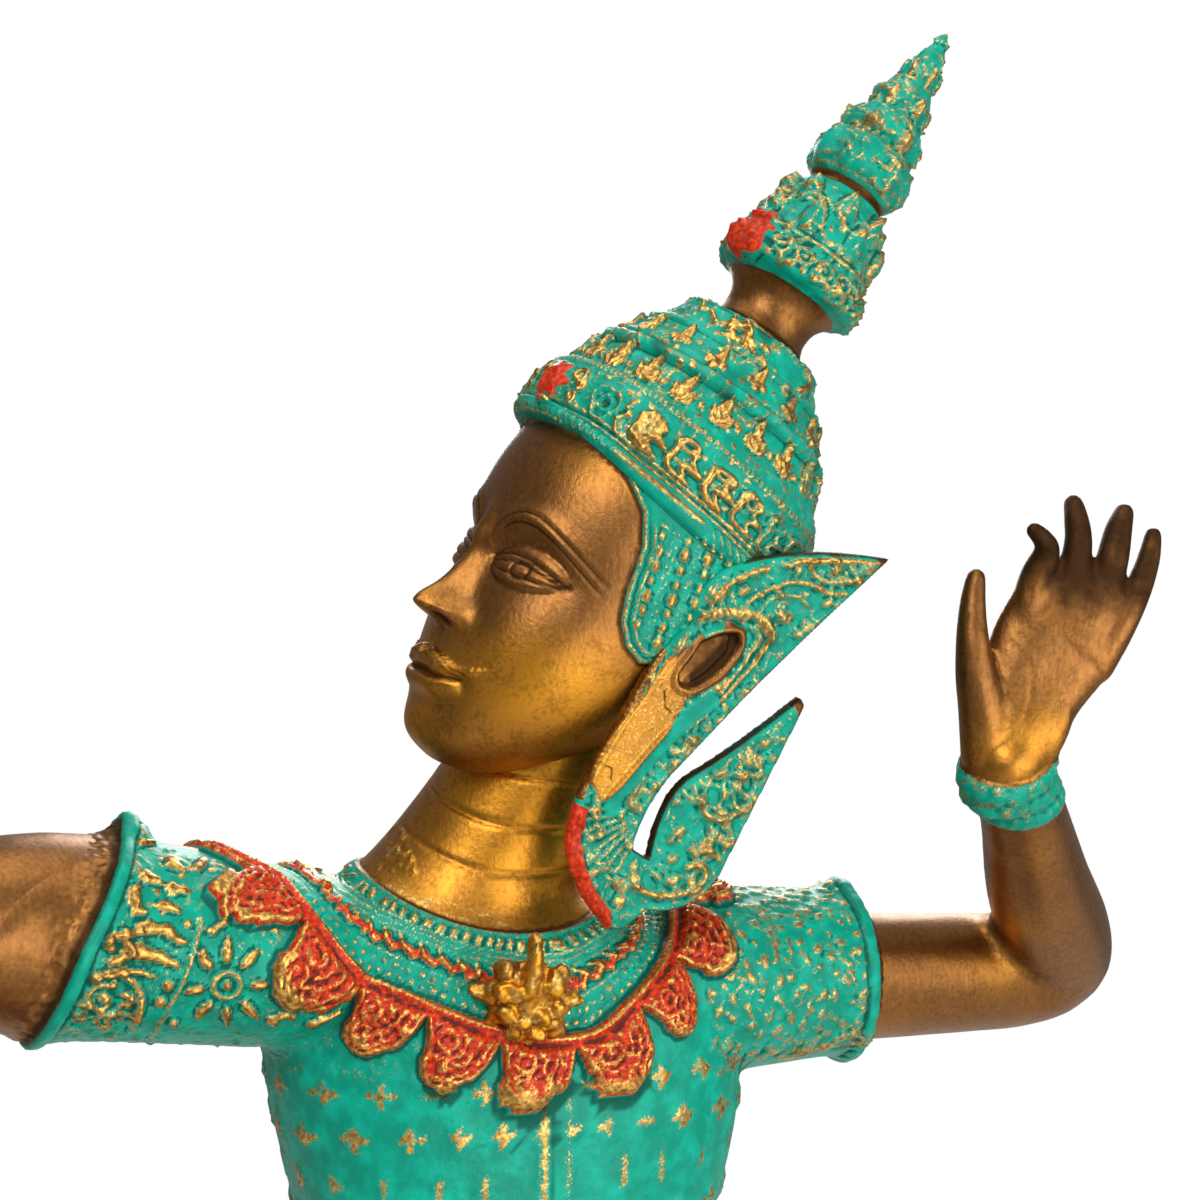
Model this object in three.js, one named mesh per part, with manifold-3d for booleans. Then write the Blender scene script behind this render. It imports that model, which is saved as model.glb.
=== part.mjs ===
// A Thai-style cast bronze of Rama, kneeling on one knee with both arms out in a dancer's gesture,
// on a low base. Millimetres, +Z up, with the origin under the middle of the trunk, on the floor.
// The chest faces -Y, the right hand reaches towards -X and the head turns that way.
import * as THREE from "three";
import { mergeVertices } from "three/addons/utils/BufferGeometryUtils.js";
import Module from "manifold-3d";

const wasm = await Module();
wasm.setup();

// Driving dimensions
const CLEARANCE = 0.3; // between pieces that touch
const BASE = { length: 446, width: 236, height: 24, centre: [0, -28], foot: 8, waist: 4, corner: 20 };
const FLOOR = BASE.height + CLEARANCE; // the lowest point of the figure
const HEAD_CENTRE = [39.8, -21.3, 544]; // on the crown's axis, level with its brim
const FACE_FORWARD = [-0.924, -0.214, 0.315];
const FACE_UP = [0.348, -0.141, 0.927];
const CROWN_PITCH = 12; // degrees that the crown leans back from the face
const CROWN_SETBACK = 1.6;
const CROWN_WIDTH = 74;
const CROWN_DEPTH = 86;
const PLATEAU_HEIGHT = 44; // from the brim's centre to the crown's flat top
const SPIRE_TIP = 140;
const PLATE = { thickness: 3.4, standoff: 33.6, roll: 2.5, splay: -6 }; // an ear ornament against the head
const COLLAR = { reach: [58, 44.5, 40], leaves: 20, leafLength: 0.27, rise: 2 };
const SLEEVE_SLANT = 0.36; // how far a cuff's lower edge runs out, for each millimetre of height

const vec = (point) => new THREE.Vector3(...point);
const turn = (degrees) => THREE.MathUtils.degToRad(degrees);

// Local frames: x to the figure's left, -y forward, z up.
function frame(origin, forward, up) {
  const z = vec(up).normalize();
  const y = vec(forward).negate();
  y.addScaledVector(z, -y.dot(z)).normalize();
  const x = new THREE.Vector3().crossVectors(y, z);
  return new THREE.Matrix4().makeBasis(x, y, z).setPosition(vec(origin));
}

const HEAD = frame(HEAD_CENTRE, FACE_FORWARD, FACE_UP);
const CROWN = HEAD.clone()
  .multiply(new THREE.Matrix4().makeRotationX(-turn(CROWN_PITCH)))
  .multiply(new THREE.Matrix4().makeTranslation(0, CROWN_SETBACK, 0));

// Joints of the limbs
const COLLAR_CENTRE = [0, 0, 440];
const SHOULDER = { right: [-66, 0, 436], left: [84, 3, 416] };
const ELBOW = { right: [-172, -38, 440], left: [176, 10, 415] };
const WRIST = { right: [-256, -66, 452], left: [124, -49, 475.5] };
const HIP = { right: [-20, 0, 230], left: [34, 4, 226] };
const KNEE = { right: [-160, -88, 206], left: [48, -40, 50] };
const ANKLE = { right: [-158, -90, 48], left: [184, 42, 64] };

// A tube of elliptical rings { at, side, front, square, fold }, closed at both ends by a fan. A fold is the
// share by which every other corner of a ring stands in.
function loft(rings, segments) {
  const positions = [];
  const index = [];
  const put = (p) => positions.push(p.x, p.y, p.z);
  const bulge = (value, power) => Math.sign(value) * Math.abs(value) ** power;
  for (const { at, side, front, square = 2, fold = 0 } of rings) {
    for (let i = 0; i < segments; i++) {
      const angle = (i / segments) * 2 * Math.PI;
      const reach = i % 2 ? 1 - fold : 1;
      const across = bulge(Math.cos(angle), 2 / square) * reach;
      const along = bulge(Math.sin(angle), 2 / square) * reach;
      put(at.clone().addScaledVector(side, across).addScaledVector(front, along));
    }
  }
  const first = rings.length * segments;
  put(rings[0].at);
  put(rings.at(-1).at);
  for (let i = 0; i < segments; i++) {
    const next = (i + 1) % segments;
    for (let k = 0; k < rings.length - 1; k++) {
      const low = k * segments;
      const high = low + segments;
      index.push(low + i, low + next, high + next, low + i, high + next, high + i);
    }
    const top = first - segments;
    index.push(first, next, i, first + 1, top + i, top + next);
  }
  const geometry = new THREE.BufferGeometry();
  geometry.setAttribute("position", new THREE.Float32BufferAttribute(positions, 3));
  return geometry.setIndex(index);
}

// A limb through stations [x, y, z, half-width across, half-width along the reference], with rounded ends.
function limb(stations, { segments = 10, reference = [0, -1, 0], fold = 0 } = {}) {
  const path = new THREE.CatmullRomCurve3(stations.map((s) => vec(s.slice(0, 3))));
  const sizes = new THREE.CatmullRomCurve3(stations.map((s) => new THREE.Vector3(s[3], s[4] ?? s[3], 0)));
  const count = stations.length - 1;
  const ring = (t, shrink, shift) => {
    const along = path.getTangent(t);
    const front = vec(reference).addScaledVector(along, -along.dot(vec(reference))).normalize();
    const side = new THREE.Vector3().crossVectors(front, along);
    const size = sizes.getPoint(t);
    return {
      at: path.getPoint(t).addScaledVector(along, shift * Math.min(size.x, size.y)),
      side: side.multiplyScalar(size.x * shrink),
      front: front.multiplyScalar(size.y * shrink),
      fold,
    };
  };
  const body = Array.from({ length: count + 1 }, (_, i) => ring(i / count, 1, 0));
  return loft([ring(0, 0.6, -0.75), ...body, ring(1, 0.6, 0.75)], segments);
}

function ellipsoid(centre, radii, { segments = 14, rings = 10, tilt = [0, 0, 0] } = {}) {
  return new THREE.SphereGeometry(1, segments, rings)
    .scale(...radii)
    .applyMatrix4(new THREE.Matrix4().makeRotationFromEuler(new THREE.Euler(...tilt.map(turn))))
    .translate(...centre);
}

// A closed geometry as a solid, turned the right way out.
function solid(geometry, matrix = new THREE.Matrix4()) {
  const bare = geometry.clone().applyMatrix4(matrix);
  bare.deleteAttribute("normal");
  bare.deleteAttribute("uv");
  const merged = mergeVertices(bare, 1e-3);
  const vertProperties = merged.attributes.position.array;
  const build = (triVerts) => new wasm.Manifold(new wasm.Mesh({ numProp: 3, vertProperties, triVerts }));
  const corners = Uint32Array.from(merged.index.array);
  const made = build(corners);
  return made.volume() > 0 ? made : build(corners.reverse());
}

const fuse = (solids) => solids.reduce((sum, next) => sum.add(next));

function meshOf(name, body, material) {
  const { vertProperties, triVerts, numProp, numVert } = body.getMesh();
  const positions = new Float32Array(numVert * 3);
  for (let i = 0; i < numVert; i++) {
    positions.set(vertProperties.subarray(i * numProp, i * numProp + 3), i * 3);
  }
  const geometry = new THREE.BufferGeometry();
  geometry.setAttribute("position", new THREE.BufferAttribute(positions, 3));
  geometry.setIndex(new THREE.BufferAttribute(triVerts, 1));
  geometry.computeVertexNormals();
  const mesh = new THREE.Mesh(geometry, material);
  mesh.name = name;
  return mesh;
}

// Trunk, from the hips to the shoulders, thicker all round by an allowance where one is given
function trunk(grow = 0) {
  const stations = [
    // [height, x, y, half-width, half-depth, lean of the ring in degrees]
    [200, 8, 4, 30, 28, 0],
    [216, 8, 4, 47, 36, 0],
    [238, 8, 4, 49, 37, 0],
    [262, 8, 3, 42, 31, 0],
    [290, 8, 2, 35, 26, 1],
    [326, 8, 2, 41, 29.5, 4],
    [362, 8, 1, 52, 34.5, 6],
    [394, 8, 1, 60, 36, 8],
    [416, 8, 1, 60, 34, 8],
    [430, 7, 1, 53, 30, 8],
    [440, 4, 1, 40, 25, 8],
    [446, 2, 1, 26, 19, 8],
  ];
  const rings = stations.map(([z, x, y, width, depth, lean]) => ({
    at: new THREE.Vector3(x, y, z + (z > 400 ? grow : 0)),
    side: new THREE.Vector3(Math.cos(turn(lean)), 0, -Math.sin(turn(lean))).multiplyScalar(width + grow),
    front: new THREE.Vector3(0, depth + grow, 0),
    square: z > 380 ? 2.7 : 2.3,
  }));
  return solid(loft(rings, 16));
}

function neck() {
  const stations = [
    [-3, 1, 436, 33, 27],
    [1, 0, 447, 26, 24],
    [6, -2, 458, 22.5, 22.5],
    [13, -5, 471, 21, 21.5],
    [23, -8, 485, 21.5, 22],
    [31, -10, 498, 22, 23],
  ];
  return solid(limb(stations, { segments: 12 }));
}

// Head without its features, thicker all round by an allowance where one is given
function skull(grow = 0) {
  const rings = [
    // [height, half-width, front, back]
    [12, 31, -32, 38],
    [-6, 33.5, -38.5, 40],
    [-19, 33.5, -40, 38.5],
    [-31, 33, -39.5, 34],
    [-45, 31.2, -40, 25],
    [-57, 28, -40, 15],
    [-68, 22, -39, 3],
    [-77, 14, -37, -10],
    [-81, 6, -32, -19],
  ];
  const shape = loft(
    rings.map(([z, width, front, back]) => ({
      at: new THREE.Vector3(0, (front + back) / 2, z),
      side: new THREE.Vector3(width + grow, 0, 0),
      front: new THREE.Vector3(0, (back - front) / 2 + grow, 0),
    })),
    18,
  );
  return solid(shape, HEAD);
}

// Brows, eyes, nose, lips and chin, on the proportions of a drawing manual
function features() {
  const both = ([x, y, z], radii, options) =>
    [1, -1].map((side) => {
      const tilt = [0, 0, -options.sweep * side];
      return ellipsoid([x * side, y, z], radii, { ...options, tilt });
    });
  const nose = [[0, -35, -20, 3.2], [0, -41, -32, 3.4], [0, -45, -42, 4.2], [0, -46.6, -47.6, 4.8]];
  return fuse(
    [
      limb(nose, { segments: 6 }),
      ...both([5.4, -42, -49.2], [3.8, 5.2, 3], { segments: 6, rings: 4, sweep: 0 }),
      ...both([15, -31.6, -31], [9, 6, 4.4], { segments: 7, rings: 4, sweep: 24 }),
      ...both([15, -32.4, -23], [12.5, 5.4, 3.4], { segments: 6, rings: 4, sweep: 26 }),
      ellipsoid([0, -39, -59.6], [10, 4.2, 2.2], { segments: 6, rings: 4 }),
      ellipsoid([0, -38.6, -63.4], [8.8, 4.2, 2.6], { segments: 6, rings: 4 }),
      ellipsoid([0, -33, -74.5], [10, 8, 6.6], { segments: 7, rings: 4 }),
    ].map((shape) => solid(shape, HEAD)),
  );
}

// The crown's painted skirt over the skull: a tongue before each ear, and down to the nape behind
function cap() {
  const outline = new THREE.Shape();
  outline.moveTo(-52, 20);
  outline.lineTo(-52, 7);
  outline.quadraticCurveTo(-38, 4, -29, -3);
  outline.quadraticCurveTo(-20, -14, -19, -31);
  outline.quadraticCurveTo(-16, -41, -9, -41);
  outline.lineTo(4, -30);
  outline.lineTo(14, -52);
  outline.lineTo(60, -40);
  outline.lineTo(60, 20);
  const through = new THREE.ExtrudeGeometry(outline, { depth: 120, bevelEnabled: false, curveSegments: 3 });
  const stand = new THREE.Matrix4().makeBasis(
    new THREE.Vector3(0, 1, 0),
    new THREE.Vector3(0, 0, 1),
    new THREE.Vector3(1, 0, 0),
  );
  const place = new THREE.Matrix4().makeTranslation(-60, 0, 0);
  return skull(1.6).intersect(solid(through, HEAD.clone().multiply(place).multiply(stand)));
}

// A profile of [radius, height] turned round the crown's axis, flattened to the crown's width
function turned(profile, segments, flatten) {
  const points = profile.map(([radius, height]) => new THREE.Vector2(radius, height));
  return new THREE.LatheGeometry(points, segments).rotateX(Math.PI / 2).scale(flatten, 1, 1);
}

// The crown's painted cap: a rolled brim, then three tiers that each end in a ring of upright leaves
function crown() {
  const half = CROWN_DEPTH / 2;
  const flatten = CROWN_WIDTH / CROWN_DEPTH;
  const leaves = 14;
  const profile = [
    // [radius, height, how far every other point drops between two leaves]
    [0, -11], [half - 1, -11], [half - 0.2, -7.6], [half - 1.2, -4], [half - 0.6, 7], [half - 2.4, 11.6],
    [half - 3.4, 18, 4.6], [half - 6.8, 15.4], [half - 9.4, 22.6], [half - 10.2, 29.4, 4.6],
    [half - 13.6, 26.8], [half - 16.2, 33], [half - 17, 39, 4], [half - 20.6, 37.4],
    [half - 23.4, PLATEAU_HEIGHT], [0, PLATEAU_HEIGHT],
  ];
  const dome = turned(profile, leaves * 2, flatten);
  const position = dome.attributes.position;
  for (let i = 0; i < position.count; i++) {
    const [, , drop = 0] = profile[i % profile.length];
    const between = Math.floor(i / profile.length) % 2;
    position.setZ(i, position.getZ(i) - drop * between);
  }
  const badge = ellipsoid([0, -half + 1, 5], [5.6, 2.8, 5.6], { segments: 7, rings: 5 });
  return fuse([dome, badge].map((shape) => solid(shape, CROWN)));
}

function crownSpire() {
  const rest = PLATEAU_HEIGHT + CLEARANCE;
  const profile = [
    [0, rest], [13.4, rest], [11.8, 48.5], [12.4, 54.5], [15.4, 58.4], [18.4, 60], [18.8, 63.5],
    [16.6, 70.6], [15.4, 76.4], [11.4, 86.4], [10.2, 89.5], [13, 94], [12.8, 99.4],
    [9.4, 104], [10.2, 107.4], [6.6, 114], [7.2, 117.6], [4.3, 124], [4.8, 127], [2.4, 133.5], [0, SPIRE_TIP],
  ];
  return solid(turned(profile, 13, 1), CROWN);
}

// Ear ornament: a flat plate with an upper wing and a lower leaf, drawn in the head's y and z
function earPlate(side) {
  const outline = new THREE.Shape();
  outline.moveTo(14, -103);
  outline.quadraticCurveTo(0, -97, -6, -87);
  outline.quadraticCurveTo(-9, -80, -8, -70);
  outline.lineTo(-5, -46);
  outline.quadraticCurveTo(-4, -34, 1, -28);
  outline.quadraticCurveTo(-3, -20, 4, -12.5);
  outline.quadraticCurveTo(18, -1, 44.5, 4.8);
  outline.quadraticCurveTo(32, -19, 22.7, -39);
  outline.lineTo(12, -64);
  outline.quadraticCurveTo(8.5, -76, 10.8, -83);
  outline.lineTo(15.8, -84);
  outline.quadraticCurveTo(11.5, -68, 18, -61);
  outline.quadraticCurveTo(26, -52, 37, -34.5);
  outline.lineTo(39, -36);
  outline.lineTo(36, -82);
  outline.quadraticCurveTo(33, -94, 20.7, -96);
  outline.lineTo(17, -102);
  const plate = new THREE.ExtrudeGeometry(outline, {
    depth: PLATE.thickness,
    bevelEnabled: false,
    curveSegments: 3,
  });
  const stand = new THREE.Matrix4().makeBasis(
    new THREE.Vector3(0, 1, 0),
    new THREE.Vector3(0, 0, 1),
    new THREE.Vector3(1, 0, 0),
  );
  const place = HEAD.clone()
    .multiply(new THREE.Matrix4().makeScale(side, 1, 1))
    .multiply(new THREE.Matrix4().makeTranslation(PLATE.standoff, 0, 0))
    .multiply(new THREE.Matrix4().makeRotationY(turn(PLATE.roll)))
    .multiply(new THREE.Matrix4().makeRotationZ(turn(PLATE.splay)));
  return solid(plate, place.multiply(stand));
}

// The pad behind each ear ornament, where it is soldered on
function earPads() {
  const pad = (side) =>
    limb([[28 * side, 0, -22, 7, 5], [27 * side, -2, -44, 6.4, 4.6], [25 * side, -7, -66, 4, 3.6]], {
      segments: 5,
    });
  return fuse([pad(1), pad(-1)].map((shape) => solid(shape, HEAD)));
}

// An ear ornament cut to the cast figure, then moved off it by the clearance
function fittedPlate(side, cast) {
  const outward = new THREE.Vector3().setFromMatrixColumn(HEAD, 0).multiplyScalar(side * CLEARANCE);
  return earPlate(side).subtract(cast).translate(outward.toArray());
}

// Hand, in its own frame: z along the palm, -y out of the palm, the left hand's thumb towards -x
function hand(matrix, side) {
  const at = (stations) => stations.map(([x, y, z, ...size]) => [x * side, y, z, ...size]);
  const finger = (stations) => limb(at(stations), { segments: 5 });
  const palm = [
    [0, 1, -8, 10.4, 9.4],
    [0, 0, 3, 10.6, 8.6],
    [-1.5, 0, 14, 13, 8],
    [-1.2, 0.5, 27, 15.8, 6.4],
    [-0.4, 1, 42, 15.4, 4.6],
  ];
  const shapes = [
    limb(at(palm), { segments: 8 }),
    finger([[-7, -2, 2, 6.6], [-14, -3.5, 10, 7], [-21, -4.5, 20, 5.2], [-27, -3, 36.5, 3.2]]),
    finger([[-12, 0, 36, 4.9], [-14.4, -2, 46, 4.5], [-16, -6, 51.5, 4.2], [-20, -7.5, 53, 3]]),
    finger([[-6, 0, 38, 4.9], [-7.6, 1, 50, 4.4], [-9, 6, 60, 4], [-10.4, 13, 66.5, 2.8]]),
    finger([[3.2, 0, 38, 4.8], [4.2, 2, 52, 4.3], [3.8, 7, 63, 3.8], [2.4, 14, 70.5, 2.7]]),
    finger([[11.6, 0.5, 35, 4.2], [13.4, 2, 48, 3.8], [13.4, 6, 59, 3.4], [11.4, 12, 68, 2.6]]),
  ];
  return fuse(shapes.map((shape) => solid(shape, matrix)));
}

function rightArm() {
  const path = [
    [...SHOULDER.right, 20, 20],
    [-110, -18, 444, 20, 19.6],
    [-140, -27, 442, 17.6, 17.2],
    [...ELBOW.right, 14.6, 14.6],
    [-196, -46, 441, 15.6, 15],
    [-220, -54, 444.5, 13.8, 13.2],
    [-240, -60, 449, 11, 10.6],
    [...WRIST.right, 10.4, 9.4],
  ];
  const palm = frame([-259, -67, 453], [-0.72, -0.62, 0.3], [-0.36, -0.1, 0.93]);
  return fuse([solid(limb(path)), hand(palm, -1)]);
}

function leftArm() {
  const path = [
    [...SHOULDER.left, 18, 18],
    [118, 8, 413.5, 17.2, 17],
    [148, 11.4, 412, 16.6, 16.4],
    [166, 13, 411.6, 16.2, 16],
    [...ELBOW.left, 15.8, 15.4],
    [168, -2, 426, 15.6, 15],
    [153, -18, 441, 14, 13.6],
    [139, -34, 458, 11.6, 11.4],
    [...WRIST.left, 10.4, 10],
  ];
  const palm = frame(WRIST.left, [-0.375, -0.927, 0], [0.406, -0.164, 0.899]);
  return fuse([solid(limb(path, { reference: [0, 0, 1] })), hand(palm, 1)]);
}

// A short sleeve along an arm, through rings [share of its length, radius, depth], with a slanted cuff
// and a slope from the cuff to the arm
function sleeve({ start, end, radii, mouth, grow = 0 }) {
  const along = vec(end).sub(vec(start));
  const across = new THREE.Vector3(0, 1, 0).addScaledVector(along, -along.y / along.lengthSq()).normalize();
  const upright = new THREE.Vector3().crossVectors(along, across).normalize();
  if (upright.z < 0) upright.negate();
  const outward = along.clone().normalize();
  const rings = [...radii, [1 + mouth.depth, mouth.radius]].map(([share, radius, deep = radius]) => ({
    at: vec(start).addScaledVector(along, share),
    side: across.clone().multiplyScalar(deep + grow),
    front: upright
      .clone()
      .addScaledVector(outward, -SLEEVE_SLANT * Math.max(0, share))
      .multiplyScalar(radius + grow),
  }));
  const [, rim] = radii.at(-1);
  const peak = vec(end)
    .addScaledVector(outward, -SLEEVE_SLANT * rim - 2.5)
    .addScaledVector(upright, rim - 0.5);
  const knob = ellipsoid(peak.toArray(), [4.5, 7, 3.6], { segments: 6, rings: 4 });
  return solid(loft(rings, 14)).add(solid(knob));
}

const sleeves = (grow = 0) => [
  sleeve({
    start: [-46, 0, 431],
    end: [-104, -15, 442],
    radii: [[-0.3, 18, 24], [0.1, 21.6, 28], [0.45, 23.4, 27], [0.85, 24, 24.6], [1, 25.6]],
    mouth: { depth: 0.14, radius: 20.4 },
    grow,
  }),
  sleeve({
    start: [56, 2, 417],
    end: [113, 8, 415.5],
    radii: [[-0.3, 20, 24], [0.1, 23, 28], [0.45, 22.8, 25.6], [0.85, 22.4, 23], [1, 24]],
    mouth: { depth: 0.1, radius: 17.2 },
    grow,
  }),
];

// A raised band round a limb
function band(centre, axis, radius, height, { bead = 1.4, flatten = 1, segments = 10 } = {}) {
  const profile = [
    [0, -height / 2], [radius, -height / 2], [radius - bead, 0], [radius, height / 2], [0, height / 2],
  ];
  const matrix = new THREE.Matrix4().makeRotationFromQuaternion(
    new THREE.Quaternion().setFromUnitVectors(new THREE.Vector3(0, 0, 1), vec(axis).normalize()),
  );
  return solid(turned(profile, segments, flatten), matrix.setPosition(vec(centre)));
}

function bangles() {
  return fuse([
    band([129, -43, 468.4], [-0.54, -0.6, 0.6], 13, 19, { segments: 12 }),
    band([-246, -63, 450], [-0.95, -0.3, 0.1], 13, 17, { segments: 12 }),
    band([-158, -90, 66], [0, 0, 1], 15, 11),
    band([166, 31, 60], [0.82, 0.56, 0.1], 15, 11),
  ]);
}

// The wide collar over the shoulders, with its border of pointed leaves
function collar() {
  const sides = COLLAR.leaves * 2;
  const reachAt = (angle) => {
    const phase = ((angle / (2 * Math.PI)) * COLLAR.leaves) % 1;
    return 1 + COLLAR.leafLength * (1 - Math.abs(2 * phase - 1));
  };
  const lobes = new THREE.SphereGeometry(1, sides, 5).rotateX(Math.PI / 2);
  const position = lobes.attributes.position;
  for (let i = 0; i < position.count; i++) {
    const point = new THREE.Vector3().fromBufferAttribute(position, i);
    point.multiplyScalar(reachAt(Math.atan2(point.y, point.x) + 2 * Math.PI));
    position.setXYZ(i, ...point.toArray());
  }
  const place = new THREE.Matrix4().makeTranslation(...COLLAR_CENTRE).scale(vec(COLLAR.reach));
  return fuse([trunk(COLLAR.rise), ...sleeves(COLLAR.rise)]).intersect(solid(lobes, place));
}

// The pendant on the breast: a boss with five points, hung from the collar by a tapered loop
function pendant() {
  const centre = [6, -36, 423];
  const points = [20, 160, 215, 325].map((degrees) => {
    const lean = turn(degrees);
    return new THREE.ConeGeometry(3.2, 9, 4)
      .rotateZ(lean - Math.PI / 2)
      .translate(8.5 * Math.cos(lean), 8.5 * Math.sin(lean), 0)
      .rotateX(turn(66))
      .translate(...centre);
  });
  const boss = ellipsoid(centre, [8.6, 6, 9.4], { segments: 7, rings: 5 });
  const loop = new THREE.ConeGeometry(4, 14, 5).rotateX(turn(66)).translate(5, -33.5, 434);
  const drop = ellipsoid([6, -37, 411], [6, 4.4, 6], { segments: 6, rings: 4 });
  return fuse([boss, loop, drop, ...points].map((shape) => solid(shape)));
}

// Legs: full breeches with folds to below the knee, bare shins and feet
function legs() {
  const between = (from, to, share) => from.map((value, i) => value * (1 - share) + to[i] * share);
  const run = (from, to, sizes) => sizes.map(([share, ...size]) => [...between(from, to, share), ...size]);
  const leg = (side, reference) => {
    const [hip, knee, ankle] = [HIP[side], KNEE[side], ANKLE[side]];
    const breeches = [
      ...run(hip, knee, [[0.05, 40, 38], [0.4, 39, 38], [0.75, 33, 32], [0.96, 26.6, 26.6]]),
      ...run(knee, ankle, [[0.14, 25.6, 25], [0.32, 23, 22.5], [0.43, 27.5, 27]]),
    ];
    const shin = run(knee, ankle, [[0.3, 19, 19], [0.55, 15.6, 16], [0.8, 12, 12.4], [1, 11.6, 12]]);
    return [
      limb(breeches, { segments: 10, fold: 0.1, reference }),
      limb(shin, { segments: 7, reference }),
    ];
  };
  const foot = { segments: 7, reference: [0, 0, 1] };
  const flat = [
    [-146, -84, 38, 12.5, 11],
    [-166, -97, 38, 13, 12],
    [-192, -112, 33, 15, 8.4],
    [-210, -122, 30.5, 12.5, 5.4],
  ];
  const raised = [
    [192, 48, 80, 11.5, 9],
    [196, 51, 48, 13.6, 10],
    [186, 44, 33, 14, 8.4],
    [172, 35, 29.5, 12, 5.4],
  ];
  return fuse(
    [
      ...leg("right", [0.5, -0.86, 0]),
      ...leg("left", [-0.5, 0.86, 0]),
      limb(flat, foot),
      limb(raised, { ...foot, reference: [-0.8, -0.56, 0.2] }),
    ].map((shape) => solid(shape)),
  );
}

// A plate with a curved outline [across, height], stood up at a place and turned about the vertical
function panel(points, depth, { at, heading = 0, lean = 0 }) {
  const shape = new THREE.Shape();
  shape.moveTo(...points[0]);
  shape.splineThru(points.slice(1).map((point) => new THREE.Vector2(...point)));
  shape.closePath();
  const plate = new THREE.ExtrudeGeometry(shape, { depth, bevelEnabled: false, curveSegments: 2 });
  const place = new THREE.Matrix4()
    .makeTranslation(...at)
    .multiply(new THREE.Matrix4().makeRotationZ(turn(heading)))
    .multiply(new THREE.Matrix4().makeRotationX(turn(90 + lean)));
  return solid(plate, place);
}

// Belt with its buckle, the sash hanging before and behind, and a flame-shaped flap on each hip
function dress() {
  const sash = [[-14, 0], [-16, -50], [-11, -84], [0, -108], [11, -84], [16, -50], [14, 0]];
  const tail = [[-12, 0], [-17, -40], [-12, -80], [0, -100], [12, -80], [17, -40], [12, 0]];
  const flap = [[0, 2], [14, -12], [30, -10], [44, 8], [50, 38], [38, 26], [28, 24], [22, 16], [10, 16]];
  const mirrored = flap.map(([x, y]) => [-x, y]);
  return fuse([
    band([8, 3, 262], [0, 0, 1], 35, 15, { bead: 2, flatten: 1.32, segments: 16 }),
    panel(sash, 6, { at: [24, -34, 256], heading: 4, lean: -7 }),
    panel(tail, 6, { at: [18, 42, 254], lean: -9 }),
    panel(flap, 7, { at: [44, 8, 250], heading: -8 }),
    panel(mirrored, 7, { at: [-28, 8, 252], heading: 8 }),
    solid(ellipsoid([8, -35, 262], [12, 5.5, 10.5], { segments: 8, rings: 5 })),
  ]);
}

// Low base: a foot, a waist and a rounded top edge, with round corners
function base() {
  const { length, width, height, foot, waist, corner, centre } = BASE;
  const plan = (inset) => {
    const x = length / 2 - inset;
    const y = width / 2 - inset;
    const shape = new THREE.Shape();
    shape.moveTo(corner - x, -y);
    shape.lineTo(x - corner, -y);
    shape.quadraticCurveTo(x, -y, x, corner - y);
    shape.lineTo(x, y - corner);
    shape.quadraticCurveTo(x, y, x - corner, y);
    shape.lineTo(corner - x, y);
    shape.quadraticCurveTo(-x, y, -x, y - corner);
    shape.lineTo(-x, corner - y);
    shape.quadraticCurveTo(-x, -y, corner - x, -y);
    return shape;
  };
  const layer = (inset, low, high) => {
    const slab = new THREE.ExtrudeGeometry(plan(inset), {
      depth: high - low,
      bevelEnabled: false,
      curveSegments: 4,
    });
    return solid(slab.translate(...centre, low));
  };
  return fuse([layer(0, 0, foot), layer(waist, foot - 1, height - 6), layer(1.5, height - 7, height)]);
}

function figure() {
  const body = fuse([
    trunk(), neck(), collar(), pendant(), ...sleeves(), skull(), features(), cap(), crown(), earPads(),
    rightArm(), leftArm(), bangles(), legs(), dress(),
  ]);
  const under = new THREE.BoxGeometry(900, 900, 100).translate(0, 0, FLOOR - 50);
  return body.subtract(solid(under));
}

const bronze = new THREE.MeshStandardMaterial({ color: 0x8a5a26, roughness: 0.4, metalness: 1 });
const enamel = new THREE.MeshStandardMaterial({ color: 0x10a58a, roughness: 0.55, metalness: 0.1 });

const statue = new THREE.Group();
const cast = figure();
statue.add(
  meshOf("figure", cast, bronze),
  meshOf("crown_spire", crownSpire(), enamel),
  meshOf("ear_ornament_left", fittedPlate(1, cast), enamel),
  meshOf("ear_ornament_right", fittedPlate(-1, cast), enamel),
  meshOf("base", base(), bronze),
);

export default statue;
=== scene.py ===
"""Painted cast bronze of Rama kneeling on one knee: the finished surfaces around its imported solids.

Lengths are millimetres in the figure's own frame until a mesh is stored, and metres in Blender.
The figure's chest faces -Y, its left hand is at +X and its face is turned towards -X. Every
surface is a closed skin whose relief and paint are worked out at its points by the functions
below, from a few named sizes.
"""

from __future__ import annotations

import logging
import math
from dataclasses import dataclass, field
from enum import Enum
from functools import reduce
from typing import Callable, Iterator, Sequence

import bmesh
import bpy
import numpy as np
from mathutils import Matrix, Vector

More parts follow.
